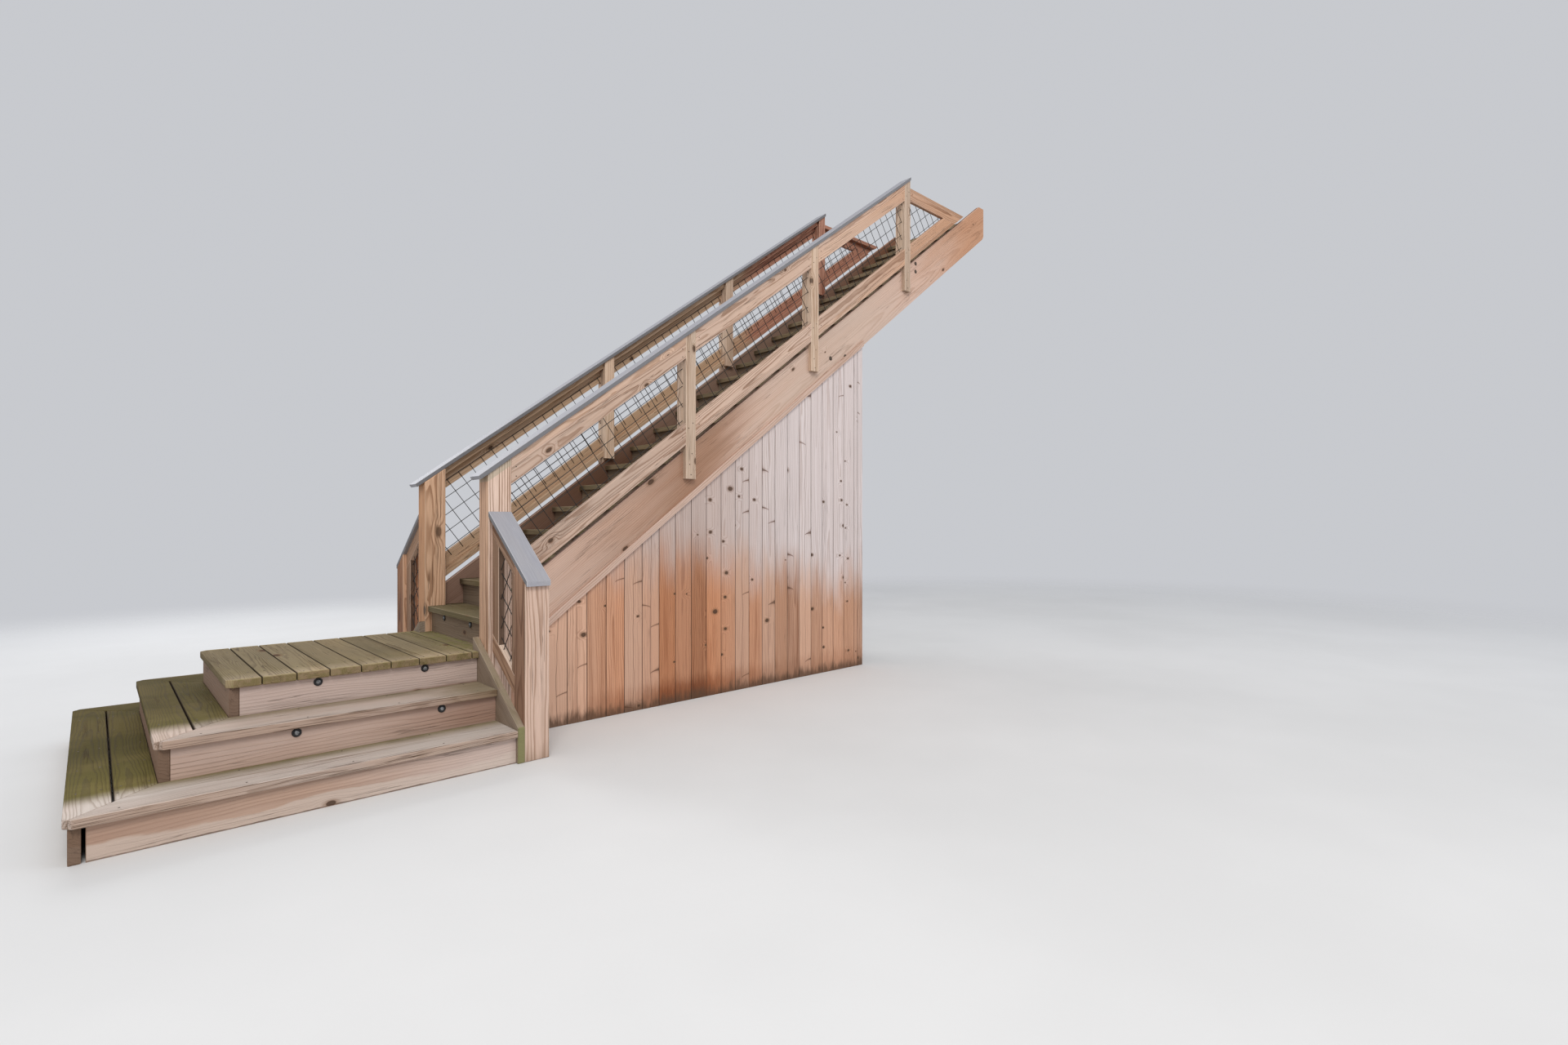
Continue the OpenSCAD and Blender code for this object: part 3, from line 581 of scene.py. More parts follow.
riser_wood = timber(
    "riser_wood", (0.505, 0.355, 0.282), (0.225, 0.13, 0.085), (0.475, 0.375, 0.33), 0.5,
    figure=0.65, rings=0.016, knots=0.15, checks=0.6, tone=0.04, ends=0.9,
    touch=water_stain
)
hidden_wood = timber(
    "hidden_wood", (0.4, 0.285, 0.195), (0.25, 0.15, 0.09), (0.3, 0.25, 0.2), 0.3
)
# The treads and risers of the flight have darker colours: painted shade of the deck above.
tread_wood = timber(
    "tread_wood", (0.31, 0.24, 0.158), (0.13, 0.088, 0.05), (0.25, 0.215, 0.16), 0.5,
    checks=0.5, shine=0.08, touch=tread_algae_and_shade
)
flight_riser_wood = timber(
    "flight_riser_wood", (0.25, 0.18, 0.122), (0.12, 0.078, 0.048), (0.2, 0.165, 0.125), 0.4
)

# %% [markdown]
# The newels and the guards are the parts that hands and eyes meet. Faces turned to the open
# yard are bleached pale, with a strong dark figure and deep drying checks. The far newels are
# browner, and all the feet are dirty. Faces turned along the stair carry a warm painted shade,
# deepest low down on the wing newels, and the upright side faces of the wing frames are
# painted dark with shade. The head of the near newel is greener below its cap, where the joint
# stays damp. The guards grow browner under the deck, partly weathering and partly painted
# shade of the deck, and the far one still carries an old red stain up high.

# %% Finishes for newels and guards
CAP_ABOVE_NOSING = 0.889


def damp_head(f):
    x, y, z = f.here()
    # Painted shade, warm in tone, on faces that look along the stair.
    painted_side_shade(f, (0.9, 0.76, 0.62))
    f.tint(f.calc("GREATER_THAN", y, 0.0), (1.0, 0.86, 0.7))
    wing = f.calc("GREATER_THAN", f.size_of(y), 0.9)
    f.tint(wing, (0.92, 0.88, 0.87))
    wing = f.times(wing, f.fade(z, 1.3, 0.6, 0.4, 1.0))
    # Deeper painted shade on those faces of the wing newels, most low down.
    before_wing_shade = f.colour
    painted_side_shade(f, (0.48, 0.44, 0.42))
    f.colour = f.blend(wing, before_wing_shade, f.colour)
    line = f.scaled(x, SLOPE, 4 * RISE - FIRST_NOSING * SLOPE + CAP_ABOVE_NOSING)
    below = f.minus(line, z)
    head = f.times(f.fade(below, 0.048, 0.04, 0.0, 0.55), f.calc("LESS_THAN", y, 0.0))
    f.cover(head, (0.36, 0.33, 0.235))
    grime = f.noise(f.ground, (9.0, 9.0, 2.0), 4.0, 0.6)
    foot = f.fade(f.scaled(grime, 0.35, z), 0.33, 0.12, 0.0, 0.6)
    f.cover(foot, (0.19, 0.12, 0.07))


def painted_frame_shade(f):
    # Painted shade: the upright faces that look sideways are dark, and faces along the stair
    # darker.
    turned = f.facing()[1]
    edge = f.fade(f.size_of(turned), 0.7, 0.95)
    f.tint(edge, (0.25, 0.2, 0.17))
    painted_side_shade(f, (0.62, 0.5, 0.41))


def deck_weather_and_shade(f):
    # Browner towards the top: partly weathering, partly painted shade of the deck above.
    f.tint(f.fade(f.here()[0], 0.6, 3.2), (0.88, 0.7, 0.55))


def old_stain(f):
    x = f.here()[0]
    wave = f.scaled(f.noise(f.ground, 3.0, 3.0), 0.6, x)
    stain = f.blend(f.late, (0.455, 0.205, 0.14), (0.25, 0.085, 0.05))
    f.cover(f.fade(wave, 1.1, 1.7, 0.0, 0.85), stain)


newel_wood = timber(
    "newel_wood", (0.76, 0.56, 0.45), (0.23, 0.115, 0.06), (0.7, 0.56, 0.475), 0.4,
    figure=1.0, rings=0.0145, knots=0.15, checks=0.6, touch=damp_head, relief=0.002,
    tone=0.06, big_knot=(-1.8, 0.496, 1.243)
)
rail_wood = timber(
    "rail_wood", (0.6, 0.43, 0.335), (0.23, 0.12, 0.068), (0.56, 0.435, 0.36), 0.4,
    figure=0.95, rings=0.012, knots=0.3, checks=0.7, tone=0.1, touch=deck_weather_and_shade
)
wing_wood = timber(
    "wing_wood", (0.62, 0.47, 0.37), (0.21, 0.115, 0.065), (0.56, 0.46, 0.39), 0.4,
    figure=1.0, rings=0.014, knots=0.3, checks=0.8, touch=painted_frame_shade, tone=0.22
)
post_wood, far_post_wood = (
    timber(
        title, (0.68, 0.51, 0.385), (0.28, 0.15, 0.08), (0.55, 0.46, 0.37), 0.35,
        figure=0.9, rings=0.011, knots=0.2, checks=0.6, touch=touch
    )
    for title, touch in (("post_wood", None), ("far_post_wood", old_stain))
)
far_rail_wood = timber(
    "far_rail_wood", (0.52, 0.365, 0.245), (0.27, 0.145, 0.07), (0.48, 0.37, 0.28), 0.3,
    figure=0.95, rings=0.012, knots=0.35, checks=0.7, touch=old_stain
)

# %% [markdown]
# The stringer is the widest plank, so its figure is broad and calm. It runs from pinkish at
# the foot, through a browner stretch by the first post, partly painted shadow of the post and
# the bottom rail, and a greyed middle, to orange brown under the deck, partly weathering and
# partly painted shade. Its inner faces are darker, painted shade of the deck above. The
# skirt board of the wing stands in the splash zone: its top edge and its outer end are mossy.

# %% Finishes for stringers, skirts and trim
INNER_FACE = 0.58


def along_stringer(f):
    x = f.here()[0]
    # Browner stretch by the first post: partly painted shadow of the post and the bottom rail.
    wave = f.scaled(f.noise(f.spot, (0.9, 6.0, 6.0), 3.0), 1.0, x)
    brown = f.times(f.fade(wave, -1.1, 0.1), f.fade(wave, 0.9, 0.1))
    f.tint(f.times(brown, 0.85), (0.5, 0.38, 0.28))
    middle = f.times(f.fade(wave, 0.3, 1.4), f.fade(wave, 3.0, 1.9))
    f.cover(f.times(middle, 0.3), (0.5, 0.43, 0.355))
    # Orange brown at the top end: partly weathering, partly painted shade of the deck.
    f.tint(f.fade(wave, 2.7, 3.9), (0.84, 0.64, 0.48))
    # Painted shade: the inner faces are darker, for the deck above them.
    inner = f.calc("LESS_THAN", f.size_of(f.here()[1]), INNER_FACE)
    f.tint(inner, (0.42, 0.36, 0.32))


def skirt_growth(f):
    y, z = f.here()[1:]
    off = f.size_of(y)
    line = f.scaled(off, -RISE / STEP_RUN, RISE * (1 + STEP_1_HALF / STEP_RUN) + 0.012)
    below = f.minus(line, z)
    fine = f.noise(f.ground, 30.0, 4.0, 0.7)
    edge = f.times(f.fade(below, 0.012, 0.002), f.fade(fine, 0.35, 0.6, 0.2, 1.0))
    tip = f.fade(off, 1.128, 1.1345, 0.0, 0.9)
    grown = f.larger(f.times(edge, 0.25), tip)
    f.cover(grown, (0.215, 0.205, 0.085))


stringer_wood = timber(
    "stringer_wood", (0.63, 0.45, 0.37), (0.33, 0.19, 0.125), (0.57, 0.445, 0.38), 0.4,
    figure=0.75, rings=0.012, knots=0.3, checks=0.5, touch=along_stringer, tone=0.02
)
skirt_wood = timber(
    "skirt_wood", (0.315, 0.243, 0.182), (0.17, 0.118, 0.08), (0.28, 0.24, 0.19), 0.4,
    touch=skirt_growth
)
trim_wood = timber(
    "trim_wood", (0.62, 0.46, 0.39), (0.34, 0.185, 0.115), (0.58, 0.47, 0.42), 0.3, checks=0.3
)

# %% [markdown]
# The boarding is knotty pine. Low down it has a warm orange brown tone, deepest by the first
# post, where that depth is partly painted shadow, and some boards are paler than others.
# Higher up it is limewashed, so the two are blended by height with a ragged edge. Boards cut
# close to the heart show spike knots: branches sliced lengthwise, which draw dark arcs from a
# shake along the middle of the board out to its edge. Dirt has splashed up at the foot.

# %% Finish for the boarding
def spike_knots(f):
    u = f.parts(f.spot)[0]
    only_along = f.vector("MULTIPLY", f.spot, (1.0, 0.0, 0.0))
    bend = f.scaled(f.noise(only_along, (2.6, 1, 1)), 0.05, -0.025)
    middle = f.minus(f.across, bend)
    off = f.size_of(middle)
    shaken = f.calc("GREATER_THAN", f.lots[1], 0.55)
    shake = f.times(f.fade(off, 0.0028, 0.001), f.times(shaken, 0.65))
    sweep = f.scaled(f.calc("SQRT", off), -0.09, u)
    cell = {"W": f.times(sweep, 3.4), "Scale": 1.0}
    cell = f.node("TexVoronoi", cell, voronoi_dimensions="1D")
    draw = f.parts(cell.outputs["Color"])
    same_side = f.calc("GREATER_THAN", f.times(middle, f.minus(draw[0], 0.5)), 0.0)
    filled = f.calc("GREATER_THAN", draw[1], f.scaled(shaken, -0.45, 0.85))
    wide = f.scaled(f.calc("POWER", off, 2.0), f.times(draw[2], 9.0), 0.006)
    apart = f.calc("DIVIDE", cell.outputs["Distance"], wide)
    spike = f.times(f.times(filled, same_side), f.fade(apart, 1.5, 0.7))
    halo = f.times(f.times(filled, same_side), f.fade(apart, 5.0, 1.0, 0.0, 0.3))
    f.cover(halo, (0.24, 0.11, 0.06))
    f.cover(f.larger(shake, f.times(spike, 0.75)), (0.095, 0.045, 0.026))


def limewash(f):
    x, _, z = f.here()
    # Warm tone, deepest by the first post: partly painted shadow there.
    warm = f.scaled(f.lots[0], 0.5, x)
    warm = f.times(f.fade(warm, -1.2, -0.4), f.fade(warm, 0.8, 0.0, 0.35, 1.0))
    f.tint(warm, (0.78, 0.58, 0.43))
    f.cover(f.fade(f.lots[1], 0.35, 0.9, 0.0, 0.45), (0.69, 0.46, 0.345))
    ragged = f.scaled(f.noise(f.spot, (2.2, 9.0, 9.0), 4.0), 0.45, z)
    ragged = f.scaled(f.lots[2], 0.12, ragged)
    pale = f.blend(f.fade(x, -0.4, 0.7), (0.51, 0.42, 0.385), (0.69, 0.62, 0.61))
    pale = f.blend(f.times(f.late, 0.35), pale, (0.3, 0.19, 0.145))
    ragged = f.scaled(f.fade(x, -0.4, 1.2), 0.25, ragged)
    f.cover(f.fade(ragged, 1.05, 1.62, 0.0, 0.92), pale)
    splash = f.scaled(f.noise(f.ground, (26.0, 26.0, 5.0), 5.0, 0.65), -0.2, z)
    damp = f.times(f.fade(splash, 0.12, -0.02), warm)
    f.tint(damp, (0.56, 0.42, 0.32))
    f.cover(f.fade(splash, 0.0, -0.09, 0.0, 0.85), (0.095, 0.05, 0.028))
    spike_knots(f)


boarding_wood = timber(
    "boarding_wood", (0.64, 0.39, 0.27), (0.27, 0.115, 0.058), (0.56, 0.36, 0.265), 0.3,
    figure=0.68, rings=0.0155, knots=0.55, checks=0.3, touch=limewash, tone=0.2, seam=0.85,
    seam_width=0.0035, knot_cells=(4.6, 3.4)
)

# %% [markdown]
# The caps are a composite of wood flour and plastic with a pressed grain: one even blue grey,
# a soft sheen, faint lengthwise streaks, and edges rubbed pale with a thin dark rim of painted
# shade. The wire has a dull black coating with specks of rust, and the lights are black metal
# with grey lenses.

# %% Finishes for caps, wire, lights and fasteners
def composite(name):
    f = Finish(name)
    place = f.stored("board_place")
    half = f.parts(f.stored("board_half"))
    across = f.parts(place)[1]
    pressed = f.noise(place, (5.0, 160.0, 160.0), 4.0, 0.65)
    cloud = f.noise(place, (2.0, 12.0, 12.0), 3.0)
    f.colour = f.blend(f.fade(pressed, 0.3, 0.75), (0.3, 0.3, 0.335), (0.375, 0.375, 0.405))
    f.cover(f.fade(cloud, 0.4, 0.7, 0.0, 0.4), (0.345, 0.33, 0.335))
    rub_and_shade = f.minus(half[1], f.size_of(across))
    f.cover(f.fade(rub_and_shade, 0.006, 0.003, 0.0, 0.6), (0.56, 0.55, 0.56))
    # The thin dark rim along each long edge is painted shade.
    f.cover(f.fade(rub_and_shade, 0.0022, 0.0008, 0.0, 0.8), (0.085, 0.085, 0.092))
    return f.surface(f.fade(pressed, 0.3, 0.7, 0.5, 0.62), pressed, 0.0006)


def coated(name, colour, rust, amount, metal, shine):
    f = Finish(name)
    spots = f.noise(f.ground, 45.0, 4.0, 0.65)
    f.colour = f.blend(f.fade(spots, 0.52, 0.68, 0.0, amount), colour, rust)
    grain = f.noise(f.ground, 900.0, 2.0)
    rough = f.fade(spots, 0.35, 0.7, shine, shine + 0.25)
    return f.surface(rough, grain, 0.0002, Metallic=metal)


def clear_lens(name):
    f = Finish(name)
    cloud = f.noise(f.ground, 120.0, 3.0)
    f.colour = f.blend(f.fade(cloud, 0.35, 0.65), (0.07, 0.075, 0.08), (0.24, 0.25, 0.26))
    return f.surface(0.22, cloud, 0.0002, Coat_Weight=0.3)


def pale_floor(name):
    f = Finish(name)
    cloud = f.noise(f.ground, 0.35, 4.0, 0.6)
    f.colour = f.blend(f.fade(cloud, 0.3, 0.7), (0.665, 0.665, 0.66), (0.715, 0.715, 0.71))
    grain = f.noise(f.ground, 40.0, 3.0)
    f.surface(0.85, grain, 0.0005)
    sheet = f.tree.nodes["Principled BSDF"].outputs[0]
    away = f.vector("LENGTH", f.vector("MULTIPLY", f.ground, (0.7, 1.0, 1.0)))
    clear = f.node("BsdfTransparent", {}).outputs[0]
    both = f.node("MixShader", {0: f.fade(away, 4.5, 11.0), 1: sheet, 2: clear})
    f.tree.links.new(both.outputs[0], f.tree.nodes["Material Output"].inputs[0])
    return f.material


cap_board = composite("cap_board")
black_wire = coated("black_wire", (0.02, 0.019, 0.017), (0.075, 0.038, 0.02), 0.5, 0.3, 0.45)
lamp_black = coated("lamp_black", (0.022, 0.022, 0.024), (0.06, 0.055, 0.05), 0.4, 0.4, 0.35)
lamp_lens = clear_lens("lamp_lens")
screw_steel = coated("screw_steel", (0.105, 0.08, 0.062), (0.115, 0.05, 0.025), 0.6, 0.7, 0.45)
floor_grey = pale_floor("floor_grey")

# %% [markdown]
# The steps and the platform stand in the open at the foot, so rain, feet and algae have worked
# on them most. Their boards keep the CAD shapes, with eased edges. The treads and platform
# boards take the deck finish, and the risers below them a cleaner one.

# %% Steps and platform
dress("step_1_treads", step_1_wood, 0.004)
dress("step_2_treads", step_2_wood, 0.004)
dress("platform_boards", platform_wood, 0.004)
for name in ("step_1_risers", "step_2_risers", "platform_risers"):
    dress(name, riser_wood)
for name in ("step_1_bearers", "step_2_bearers", "platform_joists"):
    dress(name, hidden_wood)

# %% [markdown]
# The newels are heavy square posts. Their cut tops lean with the caps. The stringers are the
# two wide planks that carry the flight. Only their long outer edges are eased: the housings
# for treads and risers inside stay crisp, as a router cuts them.

# %% Newels, stringers and flight
for side in ("near", "far"):
    dress(side + "_newel", newel_wood, 0.005)
    dress(side + "_wing_newel", newel_wood, 0.005)
    dress(side + "_wing_skirt", skirt_wood)
    dress(side + "_stringer", stringer_wood, 0.003, 1.0)
    dress(side + "_wall_frame", hidden_wood, 0.002)
    dress(side + "_trim", trim_wood, 0.002)
dress("flight_treads", tread_wood, 0.003)
dress("flight_risers", flight_riser_wood, 0.002)

# %% [markdown]
# Guards: posts of three boards, rails of two boards, and a grey composite cap on top. The
# composite board has rounder edges than timber, because it comes that way from its mould.

# %% Guards and caps
for side in ("near", "far"):
    rail_finish = rail_wood if side == "near" else far_rail_wood
    post_finish = post_wood if side == "near" else far_post_wood
    dress(side + "_posts", post_finish)
    for part in ("_top_rail", "_bottom_rail", "_level_rail"):
        dress(side + part, rail_finish)
    for part in ("_cap", "_wing_cap"):
        dress(side + part, cap_board, 0.0035)

# %% [markdown]
# A wing frame is one solid in CAD, but on the stair it is four boards: two sloping rails run
# from newel to newel, and two short stiles stand between them. Four planks, each a quad with
# a thickness, show the joints and give each board its own grain. Their lines come from the
# box of the CAD frame and the two slopes of the wing: that of the steps and that of the cap.

# %% Wing frames
STEP_FALL = RISE / STEP_RUN
CAP_FALL = 0.74
WING_IN = NEWEL_OUT
WING_END = 0.996
WING_LIFT = 0.026
WING_CAP_LOW = 1.34
STILE = 0.089
FRAME_THICK = 0.038


def wing_rail_low(y):
    return RISE + (STEP_1_HALF - y) * STEP_FALL + WING_LIFT


def wing_rail_up(y):
    return wing_rail_low(y) + STILE * math.hypot(1, STEP_FALL)


def wing_cap_low(y):
    return WING_CAP_LOW - (y - NEWEL_OUT) * CAP_FALL


def wing_top_low(y):
    return wing_cap_low(y) - STILE * math.hypot(1, CAP_FALL)


def wing_board(bm, side, x, y0, y1, low, up):
    ys = (y0, y1, y1, y0)
    edges = (low, low, up, up)
    corners = [(x, side * y, edge(y)) for y, edge in zip(ys, edges)]
    plank(bm, corners, (FRAME_THICK, 0, 0))


for side, label in SIDES:
    x_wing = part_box(label + "_wing_frame")[0].x
    bm = bmesh.new()
    wing_board(bm, side, x_wing, WING_IN, WING_END, wing_rail_low, wing_rail_up)
    wing_board(bm, side, x_wing, WING_IN, WING_END, wing_top_low, wing_cap_low)
    stile_low = lambda y: wing_rail_up(y) + FIT_GAP
    stile_up = lambda y: wing_top_low(y) - FIT_GAP
    wing_board(bm, side, x_wing, WING_IN, WING_IN + STILE, stile_low, stile_up)
    wing_board(bm, side, x_wing, WING_END - STILE, WING_END, stile_low, stile_up)
    bmesh.ops.recalc_face_normals(bm, faces=bm.faces)
    ease_edges(bm, 0.0025)
    finish_piece(label + "_wing_boards", bm, wing_wood, [label + "_wing_frame"])

# %% [markdown]
# The boarding is one plate in CAD. Here it is a row of tongued and grooved boards: each plank
# is cut to the slope of the stringer at its top, and its two outer long edges get a wide
# bevel. Where two bevels meet there is the V joint that casts the thin dark upright lines.
# The row starts with a cut board at the newel and closes with a narrow strip at the open end.

# %% Boarding
BOARD_PITCH = 0.1412
FIRST_JOINT = -1.6522
CLOSER = 0.072
BOARD_THICK = 0.019
V_JOINT = 0.0032
CLOSE = 0.0001

for side, label in SIDES:
    low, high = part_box(label + "_boarding")
    bm = bmesh.new()
    joints = [low.x]
    while joints[-1] < high.x - 3 * CLOSER:
        joints.append(FIRST_JOINT + BOARD_PITCH * (len(joints) - 1))
    joints += [high.x - CLOSER, high.x]
    for left, right in zip(joints, joints[1:]):
        inner = side * (STRINGER_OUT - BOARD_THICK)
        corners = [
            (left, inner, 0), (right, inner, 0),
            (right, inner, nose_z(right) + STRINGER_LOW),
            (left, inner, nose_z(left) + STRINGER_LOW)
        ]
        plank(bm, corners, (0, side * BOARD_THICK, 0))
    bmesh.ops.recalc_face_normals(bm, faces=bm.faces)
    outer = []
    for edge in bm.edges:
        a, b = (v.co for v in edge.verts)
        upright = abs(a.x - b.x) < CLOSE and abs(a.y - b.y) < CLOSE
        if upright and abs(a.y) > STRINGER_OUT - 0.001:
            outer.append(edge)
    bevel(bm, outer, V_JOINT, 1)
    finish_piece(label + "_boards", bm, boarding_wood, [label + "_boarding"])

# %% [markdown]
# The panels are welded from round wire. In CAD the wires are square bars. Each wire here is
# drawn as an endless line, and clipped to the outline of its panel, as a fitter trims it with
# cutters. Then it becomes a straight rod: a cone shape with two equal ends, turned to its line.

# %% Helpers for wire
WIRE = 0.005
WIRE_PITCH = 0.1016
ENDLESS = 9.0
SHORTEST = 0.012


def trim_line(outline, point, way):
    """Stretch of an endless line inside a convex outline, all in a plane."""
    start, end = -ENDLESS, ENDLESS
    middle = sum(outline, Vector((0, 0))) / len(outline)
    for a, b in zip(outline, outline[1:] + outline[:1]):
        normal = Vector((a.y - b.y, b.x - a.x))
        if normal.dot(middle - a) < 0:
            normal = -normal
        ahead = normal.dot(way)
        reach = normal.dot(a - point)
        if abs(ahead) < 1e-9:
            if reach > 0:
                return None
            continue
        if ahead > 0:
            start = max(start, reach / ahead)
        else:
            end = min(end, reach / ahead)
    if end - start < SHORTEST:
        return None
    return point + way * start, point + way * end


def set_at(place, way):
    """Turn a shape from its upright axis to a way, and move it to its place."""
    turn = Vector(way).to_track_quat("Z", "Y").to_matrix().to_4x4()
    return Matrix.Translation(place) @ turn


def cone(bm, low, top, height, place, way):
    return bmesh.ops.create_cone(
        bm, cap_ends=True, cap_tris=False, segments=8, radius1=low, radius2=top,
        depth=height, matrix=set_at(place, way)
    )["verts"]


def wire(bm, outline, point, way, in_room):
    """One rod along a line of a panel. in_room gives a point of the panel its real place."""
    cut = trim_line(outline, point, way)
    if cut:
        a, b = (Vector(in_room(p)) for p in cut)
        cone(bm, WIRE / 2, WIRE / 2, (b - a).length, (a + b) / 2, b - a)


# %% Wire panels of the guards
MESH_LOW = 0.208
MESH_UP = 0.7898
FIRST_WIRE = 0.2792
LEVEL_PANEL_TOP = 4.4927 + 0.04
LENGTHWISE_Y = 0.5885
CROSSWISE_Y = 0.5925
PANEL_LEAN = 0.35
along = Vector((math.cos(PITCH), math.sin(PITCH)))
square = Vector((-math.sin(PITCH), math.cos(PITCH)))


def above(x, up):
    return Vector((x, nose_z(x) + up))


def guard_panel(bm, side, outline):
    x_low = min(p.x for p in outline)
    x_high = max(p.x for p in outline)
    for i in range(5):
        start = above(x_low, FIRST_WIRE + i * WIRE_PITCH * PLUMB)
        wire(bm, outline, start, along, lambda p: (p.x, side * LENGTHWISE_Y, p.y))
    x = x_low + 0.5 * WIRE_PITCH * math.cos(PITCH)
    while x < x_high + PANEL_LEAN:
        start = above(x, FIRST_WIRE)
        wire(bm, outline, start, square, lambda p: (p.x, side * CROSSWISE_Y, p.y))
        x += WIRE_PITCH * math.cos(PITCH)


for side, label in SIDES:
    bm = bmesh.new()
    x0 = NEWEL_BACK + FIT_GAP
    for post in POST_XS:
        x1 = post - POST_HALF - FIT_GAP
        guard_panel(bm, side, [
            above(x0, MESH_LOW), above(x1, MESH_LOW), above(x1, MESH_UP), above(x0, MESH_UP)
        ])
        x0 = post + POST_HALF + FIT_GAP
    x_top = FIRST_NOSING + (LEVEL_PANEL_TOP - 4 * RISE - MESH_LOW) / SLOPE
    guard_panel(bm, side, [
        above(x0, MESH_LOW), Vector((x_top, LEVEL_PANEL_TOP)), Vector((x0, LEVEL_PANEL_TOP))
    ])
    finish_piece(label + "_wires", bm, black_wire, [label + "_wire"], grained=False)

# %% Wire panels of the wings
GROOVE = 0.0117
LAYER = 0.002

for side, label in SIDES:
    x_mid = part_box(label + "_wing_frame")[0].x + FRAME_THICK / 2
    y0 = WING_IN + STILE - GROOVE
    y1 = WING_END - STILE + GROOVE
    outline = [
        Vector((y0, wing_rail_up(y0) - GROOVE)), Vector((y1, wing_rail_up(y1) - GROOVE)),
        Vector((y1, wing_top_low(y1) + GROOVE)), Vector((y0, wing_top_low(y0) + GROOVE))
    ]
    y_mid = (WING_IN + WING_END) / 2
    middle = Vector((y_mid, (wing_rail_up(y_mid) + wing_top_low(y_mid)) / 2))
    fall = math.atan(CAP_FALL)
    ways = (Vector((math.cos(fall), -math.sin(fall))), Vector((math.sin(fall), math.cos(fall))))
    bm = bmesh.new()
    for layer, way in zip((LAYER, -LAYER), ways):
        step = Vector((-way.y, way.x)) * WIRE_PITCH
        for i in range(-5, 6):
            start = middle + step * i
            wire(bm, outline, start, way, lambda p: (x_mid + layer, side * p.x, p.y))
    stands_for = [label + "_wing_wire"]
    finish_piece(label + "_wing_wires", bm, black_wire, stands_for, grained=False)

# %% [markdown]
# A step light is a small black cup with a bright lens in it. Its outline is drawn once as a
# chain of short edges, and spun round its axis: that gives the tapered rim, the ring groove
# and the domed lens, all truly round. One light is made for each place on the risers.

# %% Helper for round parts
def spun(bm, profile, at, out):
    """Spin an outline of (radius, height) pairs round the way it points out."""
    verts = [bm.verts.new((r, 0, h)) for r, h in profile]
    chain = [bm.edges.new(pair) for pair in zip(verts, verts[1:])]
    bmesh.ops.spin(
        bm, geom=verts + chain, cent=(0, 0, 0), axis=(0, 0, 1), dvec=(0, 0, 0),
        angle=2 * math.pi, steps=28, use_merge=True, use_duplicate=False
    )
    new = dict.fromkeys(verts)
    waiting = list(verts)
    while waiting:
        for edge in waiting.pop().link_edges:
            for vert in edge.verts:
                if vert not in new:
                    new[vert] = None
                    waiting.append(vert)
    bmesh.ops.remove_doubles(bm, verts=list(new), dist=0.00001)
    new = [v for v in new if v.is_valid]
    bmesh.ops.transform(bm, matrix=set_at(at, out), verts=new)


# %% Step lights
RIM = (
    (0.0, 0.0), (0.021, 0.0), (0.0208, 0.0012), (0.0182, 0.0056), (0.0172, 0.006),
    (0.0132, 0.006), (0.0122, 0.005), (0.0112, 0.0032), (0.0, 0.0032)
)
LENS = (
    (0.0, 0.0033), (0.0109, 0.0033), (0.0108, 0.0046), (0.0094, 0.0063), (0.0066, 0.0072),
    (0.0034, 0.00748), (0.0, 0.0075)
)
light_places = []
for side in (-1, 1):
    for x in (-2.883, -2.223):
        light_places.append(((x, side * 0.839, 0.297), (0, side, 0)))
    for x in (-2.742, -2.223):
        light_places.append(((x, side * 0.565, 0.4765), (0, side, 0)))
    light_places.append(((-1.847, side * 0.235, 0.656), (-1, 0, 0)))
for title, profile, finish in (("light_rims", RIM, lamp_black), ("light_lenses", LENS, lamp_lens)):
    bm = bmesh.new()
    for at, out in light_places:
        spun(bm, profile, at, out)
    piece = finish_piece(title, bm, finish, ["step_lights"], grained=False)
    piece.data.shade_smooth()
print("Step lights", len(light_places))

# %% [markdown]
# Screws and bolts show how the boards are held. A screw head is a shallow disc with a dished
# middle, a bolt has a washer and a domed head. There are hundreds of screws, so each has only
# a few faces. Those in the treads are one piece, and those on the sides are another.

# %% Helpers for fasteners
def screw(bm, at, out, radius=0.0045):
    way = Vector(out)
    verts = cone(bm, radius, radius * 0.8, 0.0014, Vector(at) + way * 0.0003, way)
    faces = dict.fromkeys(f for v in verts for f in v.link_faces)
    top = max(faces, key=lambda f: f.normal.dot(way))
    bmesh.ops.inset_individual(bm, faces=[top], thickness=radius * 0.35, depth=-0.0006)


def bolt(bm, at, out):
    profile = (
        (0.0, 0.0), (0.019, 0.0), (0.019, 0.0022), (0.0125, 0.0024), (0.0125, 0.005),
        (0.0105, 0.0072), (0.006, 0.0086), (0.0, 0.009)
    )
    spun(bm, profile, at, out)


# %% Screws in treads and platform
DECK_PITCH = 0.145
DECK_BOARDS = 9
JOIST_LINES = (-0.546, -0.394, 0.0, 0.394, 0.546)
LAST_BOARD_LINES = (-0.46, -0.394, 0.0, 0.394, 0.46)
UP = (0, 0, 1)
NEWEL_FRONT = -1.94
TREADS = 23

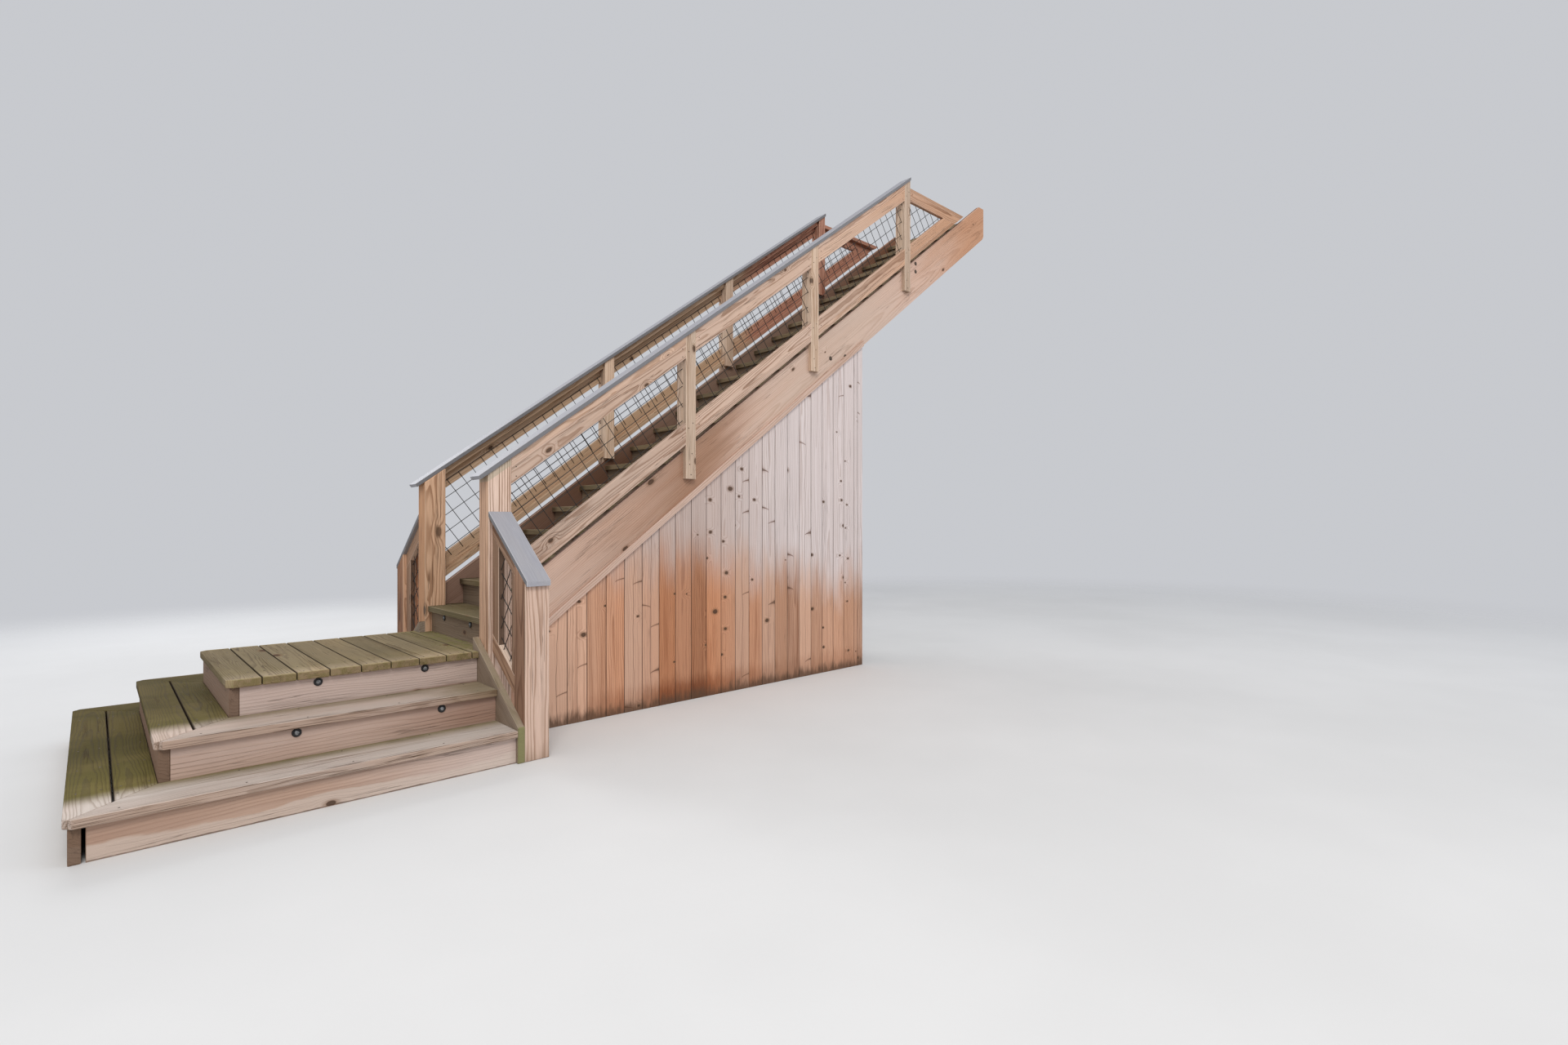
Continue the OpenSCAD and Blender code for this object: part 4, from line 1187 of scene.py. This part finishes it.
bm = bmesh.new()
for i in range(DECK_BOARDS):
    x_board = PLATFORM_FRONT + i * DECK_PITCH + 0.07
    for y in LAST_BOARD_LINES if i == DECK_BOARDS - 1 else JOIST_LINES:
        for dx in (-0.038, 0.038):
            screw(bm, (x_board + dx, y + chance.uniform(-0.006, 0.006), 3 * RISE), UP)
for x0, half, top in ((STEP_1_FRONT, STEP_1_HALF, RISE), (STEP_2_FRONT, STEP_2_HALF, 2 * RISE)):
    for side in (-1, 1):
        x = x0 + 0.16
        while x < NEWEL_FRONT:
            for y in (half - 0.045, half - 0.262):
                screw(bm, (x, side * y, top), UP)
            x += 0.405
    y = -half + 0.36
    while y < half - 0.35:
        for x in (x0 + 0.034, x0 + 0.11, x0 + 0.172, x0 + 0.262):
            screw(bm, (x, y, top), UP)
        y += 0.39
for i in range(TREADS):
    front = FIRST_NOSING + i * GOING
    for side in (-1, 1):
        for dx in (0.03, 0.11, 0.165, 0.222):
            reach = 0.455 if i == 0 and dx < 0.11 else 0.535
            screw(bm, (front + dx, side * reach, (4 + i) * RISE), UP)
finish_piece("tread_screws", bm, screw_steel, grained=False)

# %% Screws and bolts on the sides
POST_SCREWS = (
    (-0.15, 0.0), (-0.075, -0.012), (0.005, 0.01), (0.19, -0.02), (0.23, 0.018),
    (0.75, -0.018), (0.8, 0.02)
)
BOLTS = ((1.137, -0.202), (1.333, -0.3), (2.395, 0.01), (2.395, -0.07))
RAIL_END = 2.72

bm = bmesh.new()
for side in (-1, 1):
    face = side * NEWEL_OUT
    out = (0, side, 0)
    for post in POST_XS:
        for dz, dx in POST_SCREWS:
            screw(bm, (post + dx, face, nose_z(post) + dz), out, 0.005)
    starts = [NEWEL_BACK] + [x + POST_HALF for x in POST_XS]
    stops = [x - POST_HALF for x in POST_XS] + [RAIL_END]
    for x0, x1 in zip(starts, stops):
        for x in (x0 + 0.03, x1 - 0.03):
            for up in (0.172, 0.232):
                screw(bm, (x, face, nose_z(x) + up), out)
            if x1 != RAIL_END:
                for up in (0.757, 0.815):
                    screw(bm, (x, face, nose_z(x) + up), out)
    for x, dz in BOLTS:
        bolt(bm, (x, side * STRINGER_OUT, nose_z(x) + dz), out)
finish_piece("side_screws", bm, screw_steel, grained=False)

# %% [markdown]
# The floor is a plain pale sheet, wide enough to catch the stair's soft shadow. Away from the
# stair it fades into the backdrop, so no horizon cuts the picture behind the guards.

# %% Floor and backdrop
bm = bmesh.new()
bmesh.ops.create_grid(bm, x_segments=1, y_segments=1, size=30.0)
sheet = bpy.data.meshes.new("floor")
bm.to_mesh(sheet)
bm.free()
sheet.materials.append(floor_grey)
floor = show("floor", sheet)
print("Floor", floor.dimensions.x, "m wide")

# %% [markdown]
# Soft studio light: a pale world gives the fill, one large lamp from the left and front gives
# the shape, and weaker ones from the right and from behind keep the other sides open. They
# are set so that a colour comes out about as bright as it is written.

# %% Lights
world = bpy.data.worlds.new("studio")
bpy.context.scene.world = world
world.use_nodes = True
world.node_tree.nodes["Background"].inputs["Color"].default_value = (0.93, 0.95, 1.0, 1)
world.node_tree.nodes["Background"].inputs["Strength"].default_value = 0.62


def softbox(name, at, towards, size, power, colour):
    lamp = bpy.data.lights.new(name, "AREA")
    lamp.shape = "DISK"
    lamp.size = size
    lamp.energy = power
    lamp.color = colour
    holder = show(name, lamp)
    holder.location = at
    way = Vector(towards) - Vector(at)
    holder.rotation_euler = way.to_track_quat("-Z", "Y").to_euler()
    print(name, power, "W")


softbox("key", (-5.0, -8.0, 9.5), (-0.8, 0.0, 1.0), 5.0, 720, (1.0, 0.97, 0.93))
softbox("side", (7.0, -9.0, 6.0), (0.5, 0.0, 2.0), 6.0, 200, (0.95, 0.97, 1.0))
softbox("back", (-3.0, 9.5, 6.5), (0.0, 0.0, 1.5), 6.0, 420, (0.97, 0.98, 1.0))

bpy.context.scene.view_settings.view_transform = "Standard"
